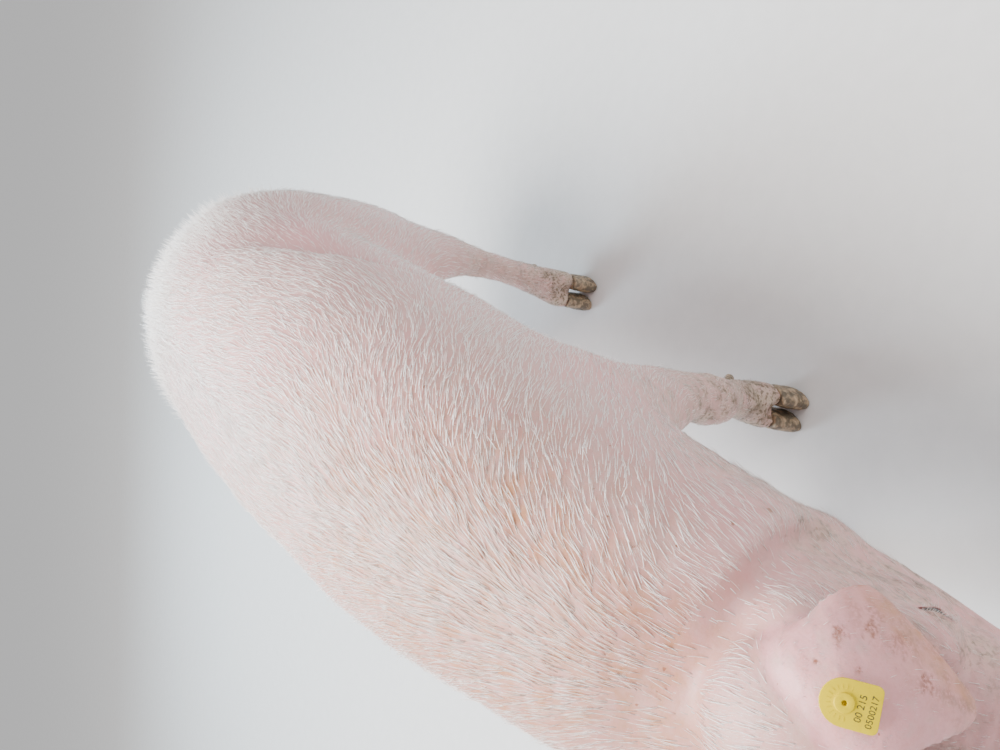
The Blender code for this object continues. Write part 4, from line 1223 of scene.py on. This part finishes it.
def skin_material():
    material, tree, shader = new_material("skin")
    place = own_place(tree)
    blush, tan, mud, scab = marks_of(tree)
    patchy = ranged(tree, noise(tree, place, 18.0, 4.0), 0.30, 0.70, 0.24)
    share = computed(tree, "ADD", blush, patchy)
    # Where the blush is low the skin takes the colour under the coat, darkened as painted shade between the
    # bristles.
    colour = mixed(tree, computed(tree, "MINIMUM", share, 1.0), SKIN_UNDER_COAT_WITH_SHADE, PINK)
    blotches = ranged(tree, noise(tree, place, 60.0, 4.0), 0.20, 0.68)
    colour = stained(tree, colour, tan, blotches, 0.80)
    pores = noise(tree, place, 430.0, 2.0)
    colour = mixed(tree, ranged(tree, pores, 0.50, 0.72, 0.28), colour, PORE)
    flush = ranged(tree, noise(tree, place, 95.0, 3.0), 0.48, 0.68, 0.34)
    colour = mixed(tree, flush, colour, FLUSH)
    specks = ranged(tree, noise(tree, place, 130.0, 1.0), 0.765, 0.785, 0.8)
    colour = mixed(tree, specks, colour, SPECK)
    broken = ranged(tree, noise(tree, place, 420.0, 3.0), 0.36, 0.56)
    colour = mixed(tree, computed(tree, "MULTIPLY", scab, broken), colour, SCAB)
    colour = muddied(tree, colour, mud, place)
    tree.links.new(colour, shader.inputs["Base Color"])
    shader.inputs["Roughness"].default_value = 0.50
    shader.inputs["Subsurface Weight"].default_value = 0.15
    shader.inputs["Subsurface Radius"].default_value = (1.0, 0.35, 0.2)
    shader.inputs["Subsurface Scale"].default_value = 0.006
    rough = computed(tree, "ADD", noise(tree, place, 260.0, 4.0), computed(tree, "MULTIPLY", pores, 0.6))
    add_bump(tree, shader, rough, 0.30, 0.0008)
    return material


def hair_material():
    material, tree, shader = new_material("bristles")
    place = own_place(tree)
    blush, tan, mud, scab = marks_of(tree)
    colour = mixed(tree, own_value(tree, "tone"), HAIR_LIGHT, HAIR_DARK)
    colour = mixed(tree, computed(tree, "MULTIPLY", blush, 0.15), colour, PINK)
    blotches = ranged(tree, noise(tree, place, 70.0, 5.0), 0.26, 0.74)
    colour = stained(tree, colour, tan, blotches, 0.64)
    colour = muddied(tree, colour, mud, place)
    tree.links.new(colour, shader.inputs["Base Color"])
    shader.inputs["Roughness"].default_value = 0.38
    return material


def horn_material():
    material, tree, shader = new_material("hoof horn")
    place = own_place(tree)
    stretch = add_node(tree, "ShaderNodeMapping", Scale=(1.0, 1.0, 5.0))
    tree.links.new(place, stretch.inputs["Vector"])
    bands = noise(tree, stretch.outputs["Vector"], 60.0, 4.0)
    colour = mixed(tree, ranged(tree, bands, 0.35, 0.70), HORN_LIGHT, HORN_DARK)
    grime = ranged(tree, noise(tree, place, 110.0, 4.0), 0.40, 0.56, 0.88)
    colour = mixed(tree, grime, colour, HORN_GRIME)
    tree.links.new(colour, shader.inputs["Base Color"])
    shader.inputs["Roughness"].default_value = 0.50
    add_bump(tree, shader, noise(tree, place, 420.0, 3.0), 0.35, 0.0005)
    return material


def tag_material():
    material, tree, shader = new_material("yellow tag")
    place = own_place(tree)
    grime = ranged(tree, noise(tree, place, 170.0, 4.0), 0.55, 0.78, 0.30)
    colour = mixed(tree, grime, TAG_YELLOW, TAG_GRIME)
    tree.links.new(colour, shader.inputs["Base Color"])
    shader.inputs["Roughness"].default_value = 0.42
    shader.inputs["Specular IOR Level"].default_value = 0.18
    add_bump(tree, shader, noise(tree, place, 900.0, 2.0), 0.15, 0.0002)
    return material


def ink_material():
    material, tree, shader = new_material("printed figures")
    worn = ranged(tree, noise(tree, own_place(tree), 900.0, 3.0), 0.52, 0.70, 0.6)
    tree.links.new(mixed(tree, worn, INK, WORN_INK), shader.inputs["Base Color"])
    shader.inputs["Roughness"].default_value = 0.6
    return material


def eye_material():
    material, tree, shader = new_material("eye")
    ramp = tree.nodes.new("ShaderNodeValToRGB")
    stops = (
        (0.00, (0.004, 0.004, 0.006, 1.0)),
        (0.21, (0.006, 0.005, 0.006, 1.0)),
        (0.25, (0.060, 0.028, 0.012, 1.0)),
        (0.52, (0.042, 0.018, 0.008, 1.0)),
        (0.70, (0.010, 0.006, 0.005, 1.0)),
        (0.80, (0.420, 0.290, 0.250, 1.0)),
        (1.00, (0.560, 0.360, 0.320, 1.0)),
    )
    band = ramp.color_ramp.elements
    band[0].position, band[0].color = stops[0]
    band[1].position, band[1].color = stops[-1]
    for position, colour in stops[1:-1]:
        band.new(position).color = colour
    streaks = ranged(tree, noise(tree, own_place(tree), 900.0, 2.0), 0.3, 0.7, 0.05)
    tree.links.new(computed(tree, "ADD", own_value(tree, "gaze"), streaks), ramp.inputs["Fac"])
    tree.links.new(ramp.outputs["Color"], shader.inputs["Base Color"])
    shader.inputs["Roughness"].default_value = 0.06
    return material


# The setting


CAMERA_FOCUS = 875.0  # in pixels of a 1000 wide picture
CAMERA_HEIGHT = 1.061
UPRIGHT_END = (1700.0, 452.0)  # where the upright lines run together, in the picture's pixels
PIG_TURN = math.radians(-17.8)
HIND_CLAW = np.array((0.1752, 1.2059))  # where the outer left hind claw stands, in the camera's own frame


def add_camera():
    """The camera is rolled: upright lines run towards a point far to the right of the picture."""
    down = unit(np.array((UPRIGHT_END[0] - 500.0, UPRIGHT_END[1] - 375.0, CAMERA_FOCUS)))
    view = np.array((0.0, 0.0, 1.0))
    ahead = unit(view - down * (view @ down))
    axes = np.stack([np.cross(down, ahead), ahead, -down])
    turn = np.array(Matrix.Rotation(-PIG_TURN, 3, "Z"))
    claw = box_middle("claw_hind_left_left")
    spot = turn @ np.array((-HIND_CLAW[0], -HIND_CLAW[1], 0.0)) + np.array((claw[0], claw[1], 0.0))
    columns = turn @ axes @ np.diag((1.0, -1.0, -1.0))
    place = Matrix(columns.tolist()).to_4x4()
    place.translation = (spot[0], spot[1], CAMERA_HEIGHT)
    lens = bpy.data.cameras.new("camera")
    lens.sensor_width = 36.0
    lens.lens = CAMERA_FOCUS * 36.0 / 1000.0
    lens.clip_start = 0.01
    camera = new_object("camera", lens)
    camera.matrix_world = place
    bpy.context.scene.camera = camera


def add_light(name, place, size, power, colour):
    """A round area light that points at the pig's middle."""
    light = bpy.data.lights.new(name, "AREA")
    light.shape = "DISK"
    light.size = size
    light.energy = power
    light.color = colour
    obj = new_object(name, light)
    obj.location = place
    obj.rotation_euler = (Vector((0.0, 0.0, 0.4)) - Vector(place)).to_track_quat("-Z", "Y").to_euler()


FLOOR_RINGS = (1.0, 2.5, 6.0, 15.0, 40.0)
FLOOR_SIDES = 64


def add_floor():
    """A plain pale floor, wide enough that its edge lies at the horizon."""
    points = [(0.0, 0.0, 0.0)]
    for reach in FLOOR_RINGS:
        for k in range(FLOOR_SIDES):
            angle = TURN * k / FLOOR_SIDES
            points.append((reach * math.cos(angle), reach * math.sin(angle), 0.0))
    faces = np.array(ring_faces(len(FLOOR_RINGS), FLOOR_SIDES))
    mesh = mesh_from("floor", np.array(points), faces)
    floor = new_object("floor", mesh)
    material, tree, shader = new_material("floor")
    speckle = ranged(tree, noise(tree, own_place(tree), 35.0, 4.0), 0.3, 0.7)
    pale = mixed(tree, speckle, FLOOR_DARK, FLOOR_LIGHT)
    tree.links.new(pale, shader.inputs["Base Color"])
    shader.inputs["Roughness"].default_value = 0.9
    mesh.materials.append(material)


LIGHTS = (
    ("overhead", (-0.6, 0.1, 2.6), 1.5, 168, (1.0, 0.995, 0.98)),
    ("side", (2.6, -1.2, 1.6), 1.6, 32, (1.0, 1.0, 1.0)),
    ("rear", (-1.2, 2.2, 2.0), 1.2, 85, (0.62, 0.84, 1.0)),
)  # name, place, width, watts, colour


def add_lights():
    world = bpy.data.worlds.new("studio")
    world.use_nodes = True
    sky = world.node_tree.nodes["Background"]
    sky.inputs["Color"].default_value = WORLD_COLOUR
    sky.inputs["Strength"].default_value = WORLD_STRENGTH
    bpy.context.scene.world = world
    for light in LIGHTS:
        add_light(*light)


SHORT_SEED, LONG_SEED = 71, 72


def dress_all():
    """Builds the skin, its coat and the separate pieces."""
    mesh, ears = build_skin()
    points, normals, edges = read_points(mesh), read_normals(mesh), read_edges(mesh)
    marks = markings(points, normals, ears)
    write_marks(mesh, marks)
    mesh.name = "skin"
    finish_piece(mesh, skin_material(), "bristled_skin", *FLESH)
    tail = on_tail(points)
    lie, down_tail = lie_of_coat(points, normals, edges, ears, tail)
    short, long, length, lift = hair_plan(points, normals, ears, tail, down_tail)
    field = (points, normals, lie, ears, marks)
    hair = hair_material()
    grow("coat_short", mesh, field, short, length * 0.85, lift, STRAIGHT, HAIR_WIDTH, SHORT_SEED, hair)
    length, lift = length * 1.20, lift * 1.3
    grow("coat_long", mesh, field, long, length, lift, BENT, LONG_HAIR_WIDTH, LONG_SEED, hair)
    add_lashes(hair)
    eye, horn, tag = eye_material(), horn_material(), tag_material()
    for way in (1, -1):
        add_eye(way, eye)
    for node in NODES:
        if "claw" in node:
            add_hoof(node, horn)
    add_bevelled("ear_tag", "tag_plate", TAG_EDGE, tag)
    add_bevelled("ear_tag_button", "tag_back", BUTTON_EDGE, tag)
    add_ticks(tag)
    add_number(ink_material())


dress_all()
add_camera()
add_floor()
add_lights()
